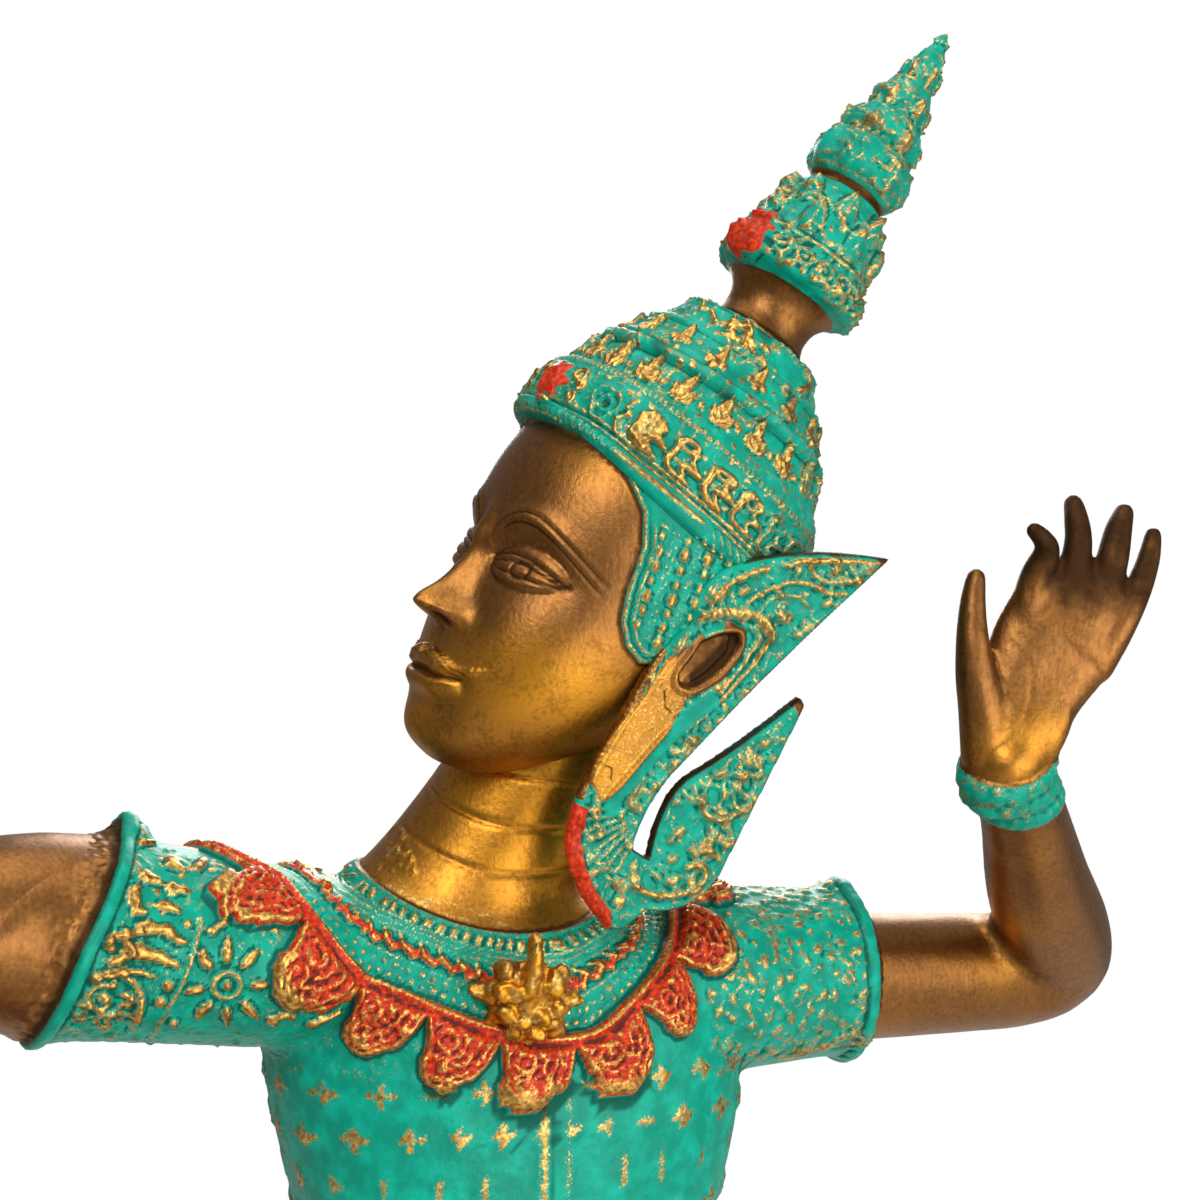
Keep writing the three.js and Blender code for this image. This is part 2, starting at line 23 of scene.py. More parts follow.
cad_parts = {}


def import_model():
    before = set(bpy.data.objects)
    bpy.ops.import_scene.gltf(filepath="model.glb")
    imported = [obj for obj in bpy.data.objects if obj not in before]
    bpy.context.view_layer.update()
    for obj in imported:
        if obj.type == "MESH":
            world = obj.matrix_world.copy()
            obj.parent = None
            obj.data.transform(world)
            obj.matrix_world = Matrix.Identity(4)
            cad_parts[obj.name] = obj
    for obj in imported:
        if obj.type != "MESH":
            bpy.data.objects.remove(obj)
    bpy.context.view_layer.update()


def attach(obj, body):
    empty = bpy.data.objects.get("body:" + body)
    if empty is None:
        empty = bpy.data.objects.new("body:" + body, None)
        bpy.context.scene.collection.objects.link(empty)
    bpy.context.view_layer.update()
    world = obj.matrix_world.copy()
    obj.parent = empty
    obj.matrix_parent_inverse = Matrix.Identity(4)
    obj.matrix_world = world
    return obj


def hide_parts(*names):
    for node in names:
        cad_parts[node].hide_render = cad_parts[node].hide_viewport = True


LOG = logging.getLogger("statue")
MM = 0.001
TOWARDS_CAMERA = (-0.375, -0.927, 0)
SOLE_HEIGHT = 24.32
DEGREE = math.pi / 180
Array = np.ndarray
Point = Sequence[float]
Points = Sequence[Point]
Object = bpy.types.Object
Material = bpy.types.Material
Socket = bpy.types.NodeSocket


class Coat(Enum):
    """What lies on the bronze at a point, painted shade and light too: the attribute holding its
    share.
    """

    TEAL = "teal"
    GOLD = "gold"
    RED = "red"
    # dark marks and patina, and painted shade in hollows, folds, dips and beside the cuffs
    DARK = "dark"
    # a warm golden tone of the metal; on the neck, the lower face and the palm's heel it is painted
    # light
    WARM = "warm"


TEAL, GOLD, RED, DARK, WARM = Coat


# Small functions on arrays of points


def unit(vector: Point) -> Array:
    """The vector at length one."""
    array = np.asarray(vector, float)
    return array / np.linalg.norm(array)


def ease(values: Array, low: float, high: float) -> Array:
    """A smooth step from 0 at low to 1 at high; low may be above high."""
    t = np.clip((values - low) / (high - low), 0, 1)
    return t * t * (3 - 2 * t)


def bell(distance: Array, width: float) -> Array:
    """A soft ridge: 1 at the middle, near 0 at twice the width."""
    return np.exp(-((distance / width) ** 2))


def dome(distance: Array, radius: float) -> Array:
    """A round bead: 1 at the middle, 0 at its radius."""
    return np.sqrt(np.clip(1 - (distance / radius) ** 2, 0, 1))


def cell(values: Array, pitch: float) -> tuple[Array, Array]:
    """Repeats a pattern along a line.

    Args:
        values: places along the line.
        pitch: the distance between two repeats.

    Returns:
        The distance from the nearest repeat's middle, and that repeat's number.
    """
    number = np.round(values / pitch)
    return values - number * pitch, number


def ripples(points: Array, size: float, seed: int) -> Array:
    """Smooth irregular waves in space, from -1 to 1.

    Args:
        points: places, one row each.
        size: the distance over which they change.
        seed: picks the waves.

    Returns:
        One value for each point.
    """
    draw = np.random.default_rng(seed)
    waves = draw.normal(size=(14, 3))
    waves *= (draw.uniform(0.6, 1.4, 14) / np.linalg.norm(waves, axis=1))[:, None]
    phases = draw.uniform(0, 2 * math.pi, 14)
    return np.sin(points @ waves.T * (2 * math.pi / size) + phases).sum(1) / 5.3


def stretches(s: Array, t: Array, points: Points) -> Iterator[tuple[Array, Array]]:
    """For each stretch of a line: the nearest place's share of it and the distance there.

    Args:
        s: places across the surface.
        t: places up the surface.
        points: the line's corners.

    Yields:
        The shares and the distances.
    """
    for (x0, y0), (x1, y1) in zip(points, points[1:]):
        dx, dy = x1 - x0, y1 - y0
        share = np.clip(((s - x0) * dx + (t - y0) * dy) / (dx * dx + dy * dy + 1e-12), 0, 1)
        yield share, np.hypot(s - x0 - share * dx, t - y0 - share * dy)


def line_distance(s: Array, t: Array, points: Points) -> Array:
    """The distance in the plane from each (s, t) to a line through the points."""
    return reduce(np.minimum, (gap for _, gap in stretches(s, t, points)))


def stroke(s: Array, t: Array, points: Points, width: Array) -> Array:
    """A round-backed stroke that thins towards its end: 1 on its middle, 0 outside.

    Args:
        s: places across the surface.
        t: places up the surface.
        points: its path.
        width: about its half-width, for each place.

    Returns:
        Its height at each place, from 0 to 1.
    """
    best = np.zeros(s.shape)
    for k, (share, gap) in enumerate(stretches(s, t, points)):
        thin = 1.25 - 0.85 * (k + share) / (len(points) - 1)
        best = np.maximum(best, dome(gap, width * thin))
    return best


def inside_distance(s: Array, t: Array, outline: Points) -> Array:
    """How far each (s, t) lies inside a closed outline; negative outside it.

    Args:
        s: places across the surface.
        t: places up the surface.
        outline: its corners in order.

    Returns:
        One distance for each place.
    """
    ring = list(outline) + [outline[0]]
    inside = np.zeros(s.shape, bool)
    for (x0, y0), (x1, y1) in zip(ring, ring[1:]):
        if y0 != y1:
            inside ^= ((y0 > t) != (y1 > t)) & (s < (x1 - x0) * (t - y0) / (y1 - y0) + x0)
    return np.where(inside, 1, -1) * line_distance(s, t, ring)


def smooth_line(points: Points, steps: int) -> Array:
    """A smooth line through the points, with a number of steps between each two."""
    knots = np.asarray(points, float)
    return spline(knots, np.linspace(0, 1, (len(knots) - 1) * steps + 1))


def spline(knots: Array, shares: Array) -> Array:
    """Rows of knots followed as one smooth curve, read at shares from 0 to 1 of its length.

    Args:
        knots: the rows that it passes through.
        shares: where it is read.

    Returns:
        One row for each share.
    """
    last = len(knots) - 1
    place = np.clip(shares, 0, 1) * last
    k = np.minimum(place.astype(int), last - 1)
    f = (place - k)[:, None]
    before, here = knots[np.maximum(k - 1, 0)], knots[k]
    there, after = knots[k + 1], knots[np.minimum(k + 2, last)]
    return 0.5 * (
        2 * here
        + (there - before) * f
        + (2 * before - 5 * here + 4 * there - after) * f**2
        + (3 * here - before - 3 * there + after) * f**3
    )


def profile_line(profile: Points, steps: int) -> tuple[Array, Array]:
    """A profile as a smooth line, and the length passed at each of its points."""
    line = smooth_line(profile, steps)
    return line, np.concatenate([[0], np.cumsum(np.hypot(*np.diff(line, axis=0).T))])


def squared(values: Array, square: float) -> Array:
    """A ring's cosines or sines: an ellipse where square is 2, with fuller corners above."""
    return np.sign(values) * np.abs(values) ** (2 / square)


def spiral(
    centre: Point, start: float, turns: float, radius: float, steps: int = 26
) -> list[Point]:
    """Points of a scroll that runs from its outer end into its centre.

    Args:
        centre: its inner end.
        start: the angle of its outer end, in radians.
        turns: how often it goes round; below 0 it runs clockwise.
        radius: how far out it starts.
        steps: its number of stretches.

    Returns:
        The points in order.
    """
    points = []
    for share in (i / steps for i in range(steps + 1)):
        angle, reach = start + 2 * math.pi * turns * share, radius * (1 - share) ** 0.8
        points.append((centre[0] + reach * math.cos(angle), centre[1] + reach * math.sin(angle)))
    return points


def flame(s: Array, t: Array, foot: Point, tip: Point, width: float, bend: float = 0.0) -> Array:
    """A pointed leaf: 1 along its middle, 0 at its edge and outside.

    Args:
        s: places across the surface.
        t: places up the surface.
        foot: where the leaf starts.
        tip: where it ends.
        width: its half-width where it is widest.
        bend: how far its middle bows to the left of its line, as a share of its length.

    Returns:
        The leaf's height at each place, from 0 to 1.
    """
    dx, dy = tip[0] - foot[0], tip[1] - foot[1]
    length = math.hypot(dx, dy)
    along = ((s - foot[0]) * dx + (t - foot[1]) * dy) / length**2
    aside = (
        ((t - foot[1]) * dx - (s - foot[0]) * dy) / length - bend * length * 4 * along * (1 - along)
    )
    held = np.clip(along, 0, 1)
    half = width * (held / 0.3) ** 0.5 * np.clip((1 - held) / 0.7, 0, 1) ** 0.9 + 1e-4
    half = np.minimum(half, width)
    return dome(aside, half) * ((along > 0) & (along < 1))


def flower(s: Array, t: Array, radius: float, petals: int) -> Array:
    """A round flower with a bead in its middle, 1 on its petals and 0 outside.

    Args:
        s: places across from its middle.
        t: places up from its middle.
        radius: its size.
        petals: how many it has.

    Returns:
        Its height at each place.
    """
    reach = np.hypot(s, t)
    aside, _ = cell(np.arctan2(s, t), 2 * math.pi / petals)
    petal = dome(np.hypot(aside * reach * 1.1, (reach - 0.64 * radius) * 0.9), 0.36 * radius)
    return np.maximum(petal, dome(reach, 0.3 * radius))


@dataclass(frozen=True)
class Frame:
    """A place with its own axes: x to the figure's left, y backward, z up, as rows."""

    origin: Array
    axes: Array

    @classmethod
    def facing(cls, origin: Point, forward: Point, up: Point) -> "Frame":
        """A frame at origin that looks forward, with its z along up.

        Args:
            origin: its place in the world.
            forward: where it looks.
            up: where its z points.

        Returns:
            The frame.
        """
        z = unit(up)
        y = -np.asarray(forward, float)
        y = unit(y - z * (y @ z))
        return cls(np.asarray(origin, float), np.stack([np.cross(y, z), y, z]))

    def pitched(self, degrees: float, setback: float) -> "Frame":
        """This frame leant back by an angle, then moved back along its own y.

        Args:
            degrees: how far it leans.
            setback: how far it moves, in millimetres.

        Returns:
            The new frame.
        """
        c, s = math.cos(math.radians(degrees)), math.sin(math.radians(degrees))
        x, y, z = self.axes
        axes = np.stack([x, c * y - s * z, s * y + c * z])
        return Frame(self.origin + setback * axes[1], axes)

    def into(self, points: Array) -> Array:
        """World points in this frame."""
        return (np.asarray(points, float) - self.origin) @ self.axes.T

    def out(self, points: Array) -> Array:
        """This frame's points in the world."""
        return np.asarray(points, float) @ self.axes + self.origin


HEAD = Frame.facing((39.8, -21.3, 544), (-0.924, -0.214, 0.315), (0.348, -0.141, 0.927))
CROWN = HEAD.pitched(12, 1.6)
LEFT_PALM = Frame.facing((124, -49, 475.5), TOWARDS_CAMERA, (0.406, -0.164, 0.899))
RIGHT_PALM = Frame.facing((-259, -67, 453), (-0.72, -0.62, 0.3), (-0.36, -0.1, 0.93))
CROWN_FLATTEN = 74 / 86


# Shells


def store(name: str, mesh_code: bmesh.types.BMesh) -> Object:
    """Turns a bmesh into an object of the scene, and frees it.

    Args:
        name: the object's name.
        mesh_code: the bmesh.

    Returns:
        The new object.
    """
    mesh = bpy.data.meshes.new(name)
    mesh_code.to_mesh(mesh)
    mesh_code.free()
    obj = bpy.data.objects.new(name, mesh)
    bpy.context.scene.collection.objects.link(obj)
    return obj


def coordinates(mesh: bpy.types.Mesh) -> Array:
    """The mesh's points, one row each, in millimetres.

    Args:
        mesh: the mesh to read.

    Returns:
        Three columns: x, y and z.
    """
    flat = np.empty(len(mesh.vertices) * 3)
    mesh.vertices.foreach_get("co", flat)
    return flat.reshape(-1, 3) / MM


def directions(mesh: bpy.types.Mesh) -> Array:
    """The mesh's normals, one row each.

    Args:
        mesh: the mesh to read.

    Returns:
        Three columns: x, y and z.
    """
    flat = np.empty(len(mesh.vertices) * 3)
    mesh.vertices.foreach_get("normal", flat)
    return flat.reshape(-1, 3)


def move_to(mesh: bpy.types.Mesh, points: Array) -> None:
    """Puts the mesh's points at these places, in millimetres."""
    mesh.vertices.foreach_set("co", (points * MM).ravel())
    mesh.update()


def shell(name: str, across: int, along: int, place: Callable[[Array, Array], Array]) -> Object:
    """A closed skin bent from a flat grid.

    Args:
        name: the object's name.
        across: cells round the skin.
        along: cells from its first pole to its last.
        place: gives the points, in millimetres, for arrays of u round the skin and v along it,
            each from 0 to 1.

    Returns:
        The new object, its seam welded and its faces turned outwards.
    """
    code = bmesh.new()
    bmesh.ops.create_grid(code, x_segments=across, y_segments=along, size=0.5)
    mesh = bpy.data.meshes.new(name)
    code.to_mesh(mesh)
    flat = coordinates(mesh) * MM + 0.5
    move_to(mesh, place(flat[:, 0], flat[:, 1]))
    code.clear()
    code.from_mesh(mesh)
    bpy.data.meshes.remove(mesh)
    bmesh.ops.remove_doubles(code, verts=code.verts, dist=0.004 * MM)
    bmesh.ops.recalc_face_normals(code, faces=code.faces)
    return store(name, code)


def lofted(
    name: str, rings: Points, sides: int = 48, steps: int = 6, square: float = 2.0
) -> Object:
    """A skin with flat ends through rings of nine numbers: the middle and two half-axes.

    Args:
        name: the object's name.
        rings: each ring's middle, and its half-axes as two vectors.
        sides: points round it.
        steps: rings from one given ring to the next.
        square: 2 for an ellipse, more for a fuller section.

    Returns:
        The new object.
    """
    knots = np.asarray(rings, float)
    rows = (len(knots) - 1) * steps + 2

    def place(u: Array, v: Array) -> Array:
        """Points of the skin.

        Args:
            u: places round it, from 0 to 1.
            v: places along it, from 0 to 1.

        Returns:
            The points, in millimetres.
        """
        ring = v * rows
        here = spline(knots, (ring - 1) / (rows - 2))
        size = np.clip(np.minimum(ring, rows - ring), 0, 1)
        angle = 2 * math.pi * u
        across, deep = squared(np.cos(angle), square) * size, squared(np.sin(angle), square) * size
        return here[:, :3] + here[:, 3:6] * across[:, None] + here[:, 6:] * deep[:, None]

    return shell(name, sides, rows, place)


def tube(name: str, stations: Points, reference: Point = (0, -1, 0), sides: int = 28,
         steps: int = 5, fold: float = 0.0, folds: int = 5, square: float = 2.0) -> Object:
    """A limb with round ends through stations [x, y, z, half-width, half-depth].

    Args:
        name: the object's name.
        stations: the places it passes through and its size there.
        reference: the direction that its depth is measured along.
        sides: points round it.
        steps: rings between two stations.
        fold: how deep the folds along it are, as a share of its size.
        folds: how many folds run round it.
        square: 2 for an ellipse, more for a fuller section.

    Returns:
        The new object.
    """
    knots = np.array([[*s[:4], s[4] if len(s) > 4 else s[3]] for s in stations], float)
    centres, reference = knots[:, :3], np.asarray(reference, float)
    middle = (len(knots) - 1) * steps
    cap = 4
    rows = middle + 2 * cap

    def place(u: Array, v: Array) -> Array:
        """Points of the limb.

        Args:
            u: places round it, from 0 to 1.
            v: places along it, from 0 to 1.

        Returns:
            The points, in millimetres.
        """
        ring = v * rows
        share = np.clip((ring - cap) / middle, 0, 1)
        here = spline(knots, share)
        along = (
            spline(centres, np.clip(share + 0.01, 0, 1))
            - spline(centres, np.clip(share - 0.01, 0, 1))
        )
        along /= np.linalg.norm(along, axis=1)[:, None]
        front = reference - along * (along @ reference)[:, None]
        front /= np.linalg.norm(front, axis=1)[:, None]
        side = np.cross(front, along)
        beyond = np.clip(cap - ring, 0, cap) / cap
        after = np.clip(ring - cap - middle, 0, cap) / cap
        end = np.maximum(beyond, after) * math.pi / 2
        size = here[:, 3:] * np.cos(end)[:, None]
        shift = np.sin(end) * np.sign(after - beyond) * here[:, 3:].min(1)
        angle = 2 * math.pi * u
        pleat = 1 + fold * np.cos(folds * angle + 3 * share * math.pi) * np.cos(end)
        across, deep = (
            squared(np.cos(angle), square) * pleat, squared(np.sin(angle), square) * pleat
        )
        return (
            here[:, :3]
            + along * shift[:, None]
            + side * (size[:, 0] * across)[:, None]
            + front * (size[:, 1] * deep)[:, None]
        )

    return shell(name, sides, rows, place)


def bead(centre: Point, radii: Point, frame: Frame | None = None, turn: float = 0.0) -> Object:
    """An ellipsoid, turned about its frame's y by an angle in degrees.

    Args:
        centre: its middle.
        radii: its half-sizes along x, y and z.
        frame: the frame it is given in; none is the world's.
        turn: the angle.

    Returns:
        The new object.
    """
    code = bmesh.new()
    bmesh.ops.create_icosphere(code, subdivisions=3, radius=1.0)
    obj = store("bead", code)
    points = coordinates(obj.data) * MM * np.asarray(radii, float)
    c, s = math.cos(math.radians(turn)), math.sin(math.radians(turn))
    points = points @ np.array([[c, 0, s], [0, 1, 0], [-s, 0, c]]) + np.asarray(centre, float)
    move_to(obj.data, frame.out(points) if frame else points)
    return obj


def join(name: str, parts: Sequence[Object]) -> Object:
    """Joins objects into one mesh of that name.

    Args:
        name: the new object's name.
        parts: the objects, which are used up.

    Returns:
        The new object.
    """
    code = bmesh.new()
    for part in parts:
        code.from_mesh(part.data)
        bpy.data.objects.remove(part)
    return store(name, code)


def melt(name: str, parts: Sequence[Object], voxel: float, soften: int) -> Object:
    """Melts overlapping shells into one skin.

    Args:
        name: the new object's name.
        parts: the shells, which are used up.
        voxel: the size of the new skin's cells, in millimetres.
        soften: how often the skin is smoothed.

    Returns:
        The new object.
    """
    raw = join(name + "_raw", parts)
    remesh = raw.modifiers.new("melt", "REMESH")
    remesh.mode = "VOXEL"
    remesh.voxel_size = voxel * MM
    smooth = raw.modifiers.new("soften", "SMOOTH")
    smooth.factor = 0.5
    smooth.iterations = soften
    depsgraph = bpy.context.evaluated_depsgraph_get()
    mesh = bpy.data.meshes.new_from_object(raw.evaluated_get(depsgraph))
    bpy.data.objects.remove(raw)
    mesh.name = name
    obj = bpy.data.objects.new(name, mesh)
    bpy.context.scene.collection.objects.link(obj)
    return obj


def refine(
    obj: Object, chosen: Callable[[Array, Array], Array], cuts: int, soften: int = 2
) -> None:
    """Gives part of a skin smaller cells.

    Args:
        obj: the skin.
        chosen: says for each point, in millimetres, and its normal whether it lies in that part.
        cuts: how many times each edge there is cut.
        soften: how often the new points are smoothed.
    """
    picked = chosen(coordinates(obj.data), directions(obj.data))
    code = bmesh.new()
    code.from_mesh(obj.data)
    code.verts.ensure_lookup_table()
    edges = [e for e in code.edges if picked[e.verts[0].index] and picked[e.verts[1].index]]
    made = bmesh.ops.subdivide_edges(code, edges=edges, cuts=cuts, use_grid_fill=True)
    fresh = {g for g in made["geom_inner"] if isinstance(g, bmesh.types.BMVert)}
    fresh |= {v for e in edges if e.is_valid for v in e.verts}
    fresh = sorted(fresh, key=lambda v: v.index)
    for _ in range(soften):
        bmesh.ops.smooth_vert(
            code, verts=fresh, factor=0.5, use_axis_x=True, use_axis_y=True, use_axis_z=True
        )
    code.to_mesh(obj.data)
    code.free()


class Skin:
    """A shell with relief and paint, held as arrays over its points until it is finished."""

    def __init__(self, obj: Object) -> None:
        """Reads the shell's points, in millimetres, and its normals.

        Args:
            obj: the shell.
        """
        self.obj = obj
        self.points = coordinates(obj.data)
        self.normals = directions(obj.data)
        self.height = np.zeros(len(self.points))
        self.coats = {coat: np.zeros(len(self.points)) for coat in Coat}
        self.plain = np.zeros(len(self.points))

    def raise_by(self, height: Array) -> None:
        """Adds relief along the normals, in millimetres."""
        self.height += height

    def paint(self, coat: Coat, share: Array) -> None:
        """Lays a coat where it is thicker than before."""
        self.coats[coat] = np.maximum(self.coats[coat], np.clip(share, 0, 1))

    def emboss(
        self, pattern: Array, height: float, coat: Coat | None = None, share: float = 1.0
    ) -> None:
        """Raises a pattern of values from 0 to 1, and lays a coat on it.

        Args:
            pattern: its value at each point.
            height: how far it stands out, in millimetres.
            coat: what lies on it, if anything.
            share: the coat's share where the pattern is 1.
        """
        self.raise_by(height * pattern)
        if coat:
            self.paint(coat, share * pattern)

    def clear(self, share: Array, *coats: Coat) -> None:
        """Takes a share of each of these coats away."""
        for coat in coats:
            self.coats[coat] *= 1 - np.clip(share, 0, 1)

    def waves(self, size: float, seed: int) -> Array:
        """Smooth irregular waves at the skin's points, from -1 to 1."""
        return ripples(self.points, size, seed)

    def worms(self, size: float, gap: float, seed: int, width: float, least: float = -0.5) -> Array:
        """Short winding ridges, a size apart, with gaps between them: 1 on their middles."""
        return bell(self.waves(size, seed), width) * ease(self.waves(gap, seed + 1), least, 0.4)

    def weather(self, where: Array, lumps: float, flecks: float) -> None:
        """Rough casting under the paint: short ridges and grains, with gold left on them.

        Args:
            where: its share at each point.
            lumps: the ridges' height, in millimetres.
            flecks: the gold's share on them.
        """
        ridges = self.worms(5.4, 10, 51, 0.3, -0.6)
        grains = ease(self.waves(2.6, 53), 0.2, 1.0)
        self.raise_by((lumps * ridges + 0.6 * lumps * grains + 0.1 * self.waves(7, 54)) * where)
        self.paint(GOLD, flecks * np.maximum(0.85 * ridges, grains) * where)

    def hollow(self) -> Array:
        """How many millimetres each point lies below its neighbours, evened out a little.

        Returns:
            One depth for each point, negative on a ridge.
        """
        mesh = self.obj.data
        ends = np.empty(len(mesh.edges) * 2, np.int32)
        mesh.edges.foreach_get("vertices", ends)
        here = np.concatenate([ends[::2], ends[1::2]])
        there = np.concatenate([ends[1::2], ends[::2]])
        count = np.maximum(np.bincount(here, minlength=len(self.points)), 1)

        def middle(values: Array) -> Array:
            """The mean of each point's neighbours."""
            return np.bincount(here, values[there], len(count)) / count

        points = self.points + self.normals * self.height[:, None]
        offset = np.stack([middle(points[:, k]) for k in range(3)], 1) - points
        depth = (offset * self.normals).sum(1)
        return 0.4 * depth + 0.6 * middle(depth)

    def finish(self, material: Material) -> Object:
        """Moves the points out by the relief, stores the coats and gives the skin its material.

        Args:
            material: its finish.

        Returns:
            The finished object.
        """
        mesh = self.obj.data
        depth = self.hollow()
        painted = np.maximum(self.coats[TEAL], self.coats[RED])
        # painted shade: darker where the skin lies in a hollow, more so on paint
        self.paint(DARK, ease(depth, 0.018, 0.12) * (0.42 + 0.36 * painted))
        self.paint(GOLD, 0.66 * ease(-depth, 0.04, 0.13) * painted * (1 - self.plain))
        move_to(mesh, self.points + self.normals * self.height[:, None])
        for coat, share in self.coats.items():
            layer = mesh.attributes.new(coat.value, "FLOAT", "POINT")
            layer.data.foreach_set("value", share.astype(np.float32))
        mesh.materials.clear()
        mesh.materials.append(material)
        mesh.shade_smooth()
        return self.obj


def join_finished(name: str, parts: Sequence[Object], material: Material) -> Object:
    """Joins finished skins, with their coats, into one object of that name.

    Args:
        name: the new object's name.
        parts: the objects, which are used up.
        material: their finish.

    Returns:
        The new object.
    """
    obj = join(name, parts)
    obj.data.materials.clear()
    obj.data.materials.append(material)
    obj.data.shade_smooth()
    return obj


# Finishes


@dataclass(frozen=True)
class Finish:
    """Cast bronze under worn paint. Colours are linear red, green and blue.

    The coats come from the skin's attributes, and noise on object coordinates breaks their edges.
    """

    name: str
    brown: tuple[float, float, float] = (0.172, 0.07, 0.023)
    golden: tuple[float, float, float] = (0.52, 0.22, 0.016)
    umber: tuple[float, float, float] = (0.085, 0.028, 0.005)
    # recess and teal_recess: near-black colours of dark marks and of painted shade, on bare metal and
    # on paint
    recess: tuple[float, float, float] = (0.022, 0.011, 0.006)
    teal: tuple[float, float, float] = (0.0, 0.32, 0.22)
    teal_deep: tuple[float, float, float] = (0.0, 0.205, 0.135)
    teal_recess: tuple[float, float, float] = (0.0, 0.055, 0.035)
    gilt: tuple[float, float, float] = (0.66, 0.38, 0.09)
    gilt_dark: tuple[float, float, float] = (0.30, 0.16, 0.04)
    red: tuple[float, float, float] = (0.33, 0.016, 0.004)
    red_light: tuple[float, float, float] = (0.62, 0.05, 0.008)
    streak: tuple[float, float, float] = (0.56, 0.27, 0.055)
    warmth: float = 0.0
    roughness: float = 0.4
    sheen: float = 0.14
    bump_strength: float = 0.35
    bump_distance: float = 0.00035

    def build(self) -> Material:
        """Makes the material from its nodes.

        Returns:
            The new material.
        """
        material = bpy.data.materials.new(self.name)
        material.use_nodes = True
        paper = Sketch(material.node_tree)
        place = paper.node("ShaderNodeTexCoord").outputs["Object"]
        broad = paper.noise(place, 26, 3)
        mottle = paper.noise(place, 190, 4)
        grain = paper.noise(place, 900, 3)
        fine = paper.noise(place, 1700, 3)
        brushed = paper.noise(paper.stretched(place, (900, 900, 260)), 1.0, 4, turn=(0.5, 0.4, 0.3))
        shares = {coat: paper.attribute(coat.value) for coat in Coat}

        warm = paper.sum(
            paper.scaled(broad, 1.5), paper.scaled(shares[WARM], 1.1), self.warmth - 0.75
        )
        metal = paper.mix(paper.between(warm, 0.0, 1.0), self.brown, self.golden)
        streaks = paper.between(
            paper.sum(paper.scaled(brushed, 0.7), paper.scaled(mottle, 0.5)), 0.3, 0.95
        )
        metal = paper.mix(paper.scaled(streaks, 0.27), metal, self.streak)
        patina = paper.sum(paper.scaled(grain, 0.7), paper.scaled(mottle, 0.6))
        metal = paper.mix(paper.scaled(paper.between(patina, 0.6, 0.85), 0.42), metal, self.umber)
        gilt_share = paper.edge(shares[GOLD], fine, 1.35)
        teal_share = paper.edge(shares[TEAL], mottle, 0.35)
        red_share = paper.edge(shares[RED], grain, 0.45)
        teal = paper.mix(paper.between(mottle, 0.35, 0.75), self.teal_deep, self.teal)
        gilt = paper.mix(paper.between(grain, 0.38, 0.66), self.gilt_dark, self.gilt)
        red = paper.mix(paper.between(grain, 0.4, 0.72), self.red, self.red_light)
        colour = paper.mix(teal_share, metal, teal)
        colour = paper.mix(red_share, colour, red)
        colour = paper.mix(gilt_share, colour, gilt)
        # the dark share darkens the colour: dark marks, and painted shade in hollows, folds and under
        # the cuffs
        dark = paper.edge(shares[DARK], mottle, 0.5, 1.6)
        painted = paper.peak(teal_share, red_share)
        shade = paper.mix(teal_share, self.recess, self.teal_recess)
        colour = paper.mix(paper.scaled(dark, 0.86), colour, shade)
        bare = paper.sum(paper.scaled(painted, -1.0), 1.0)
        shine = paper.peak(bare, gilt_share)
        rough = paper.sum(paper.scaled(mottle, 0.14), paper.scaled(painted, -0.03))
        rough = paper.sum(rough, paper.scaled(dark, 0.25), self.roughness - 0.07)
        surface = paper.node("ShaderNodeBsdfPrincipled")
        surface.inputs["Specular IOR Level"].default_value = self.sheen
        paper.link(colour, surface.inputs["Base Color"])
        paper.link(shine, surface.inputs["Metallic"])
        paper.link(rough, surface.inputs["Roughness"])
        hammered = paper.scaled(paper.product(paper.noise(place, 420, 3), painted), 2.2)
        relief = paper.sum(
            paper.scaled(grain, 0.5), paper.scaled(fine, 0.35), paper.scaled(brushed, 0.5), hammered
        )
        bump = paper.node("ShaderNodeBump")
        bump.inputs["Strength"].default_value = self.bump_strength
        bump.inputs["Distance"].default_value = self.bump_distance
        paper.link(relief, bump.inputs["Height"])
        paper.link(bump.outputs["Normal"], surface.inputs["Normal"])
        paper.link(surface.outputs["BSDF"], paper.sheet_end())
        return material


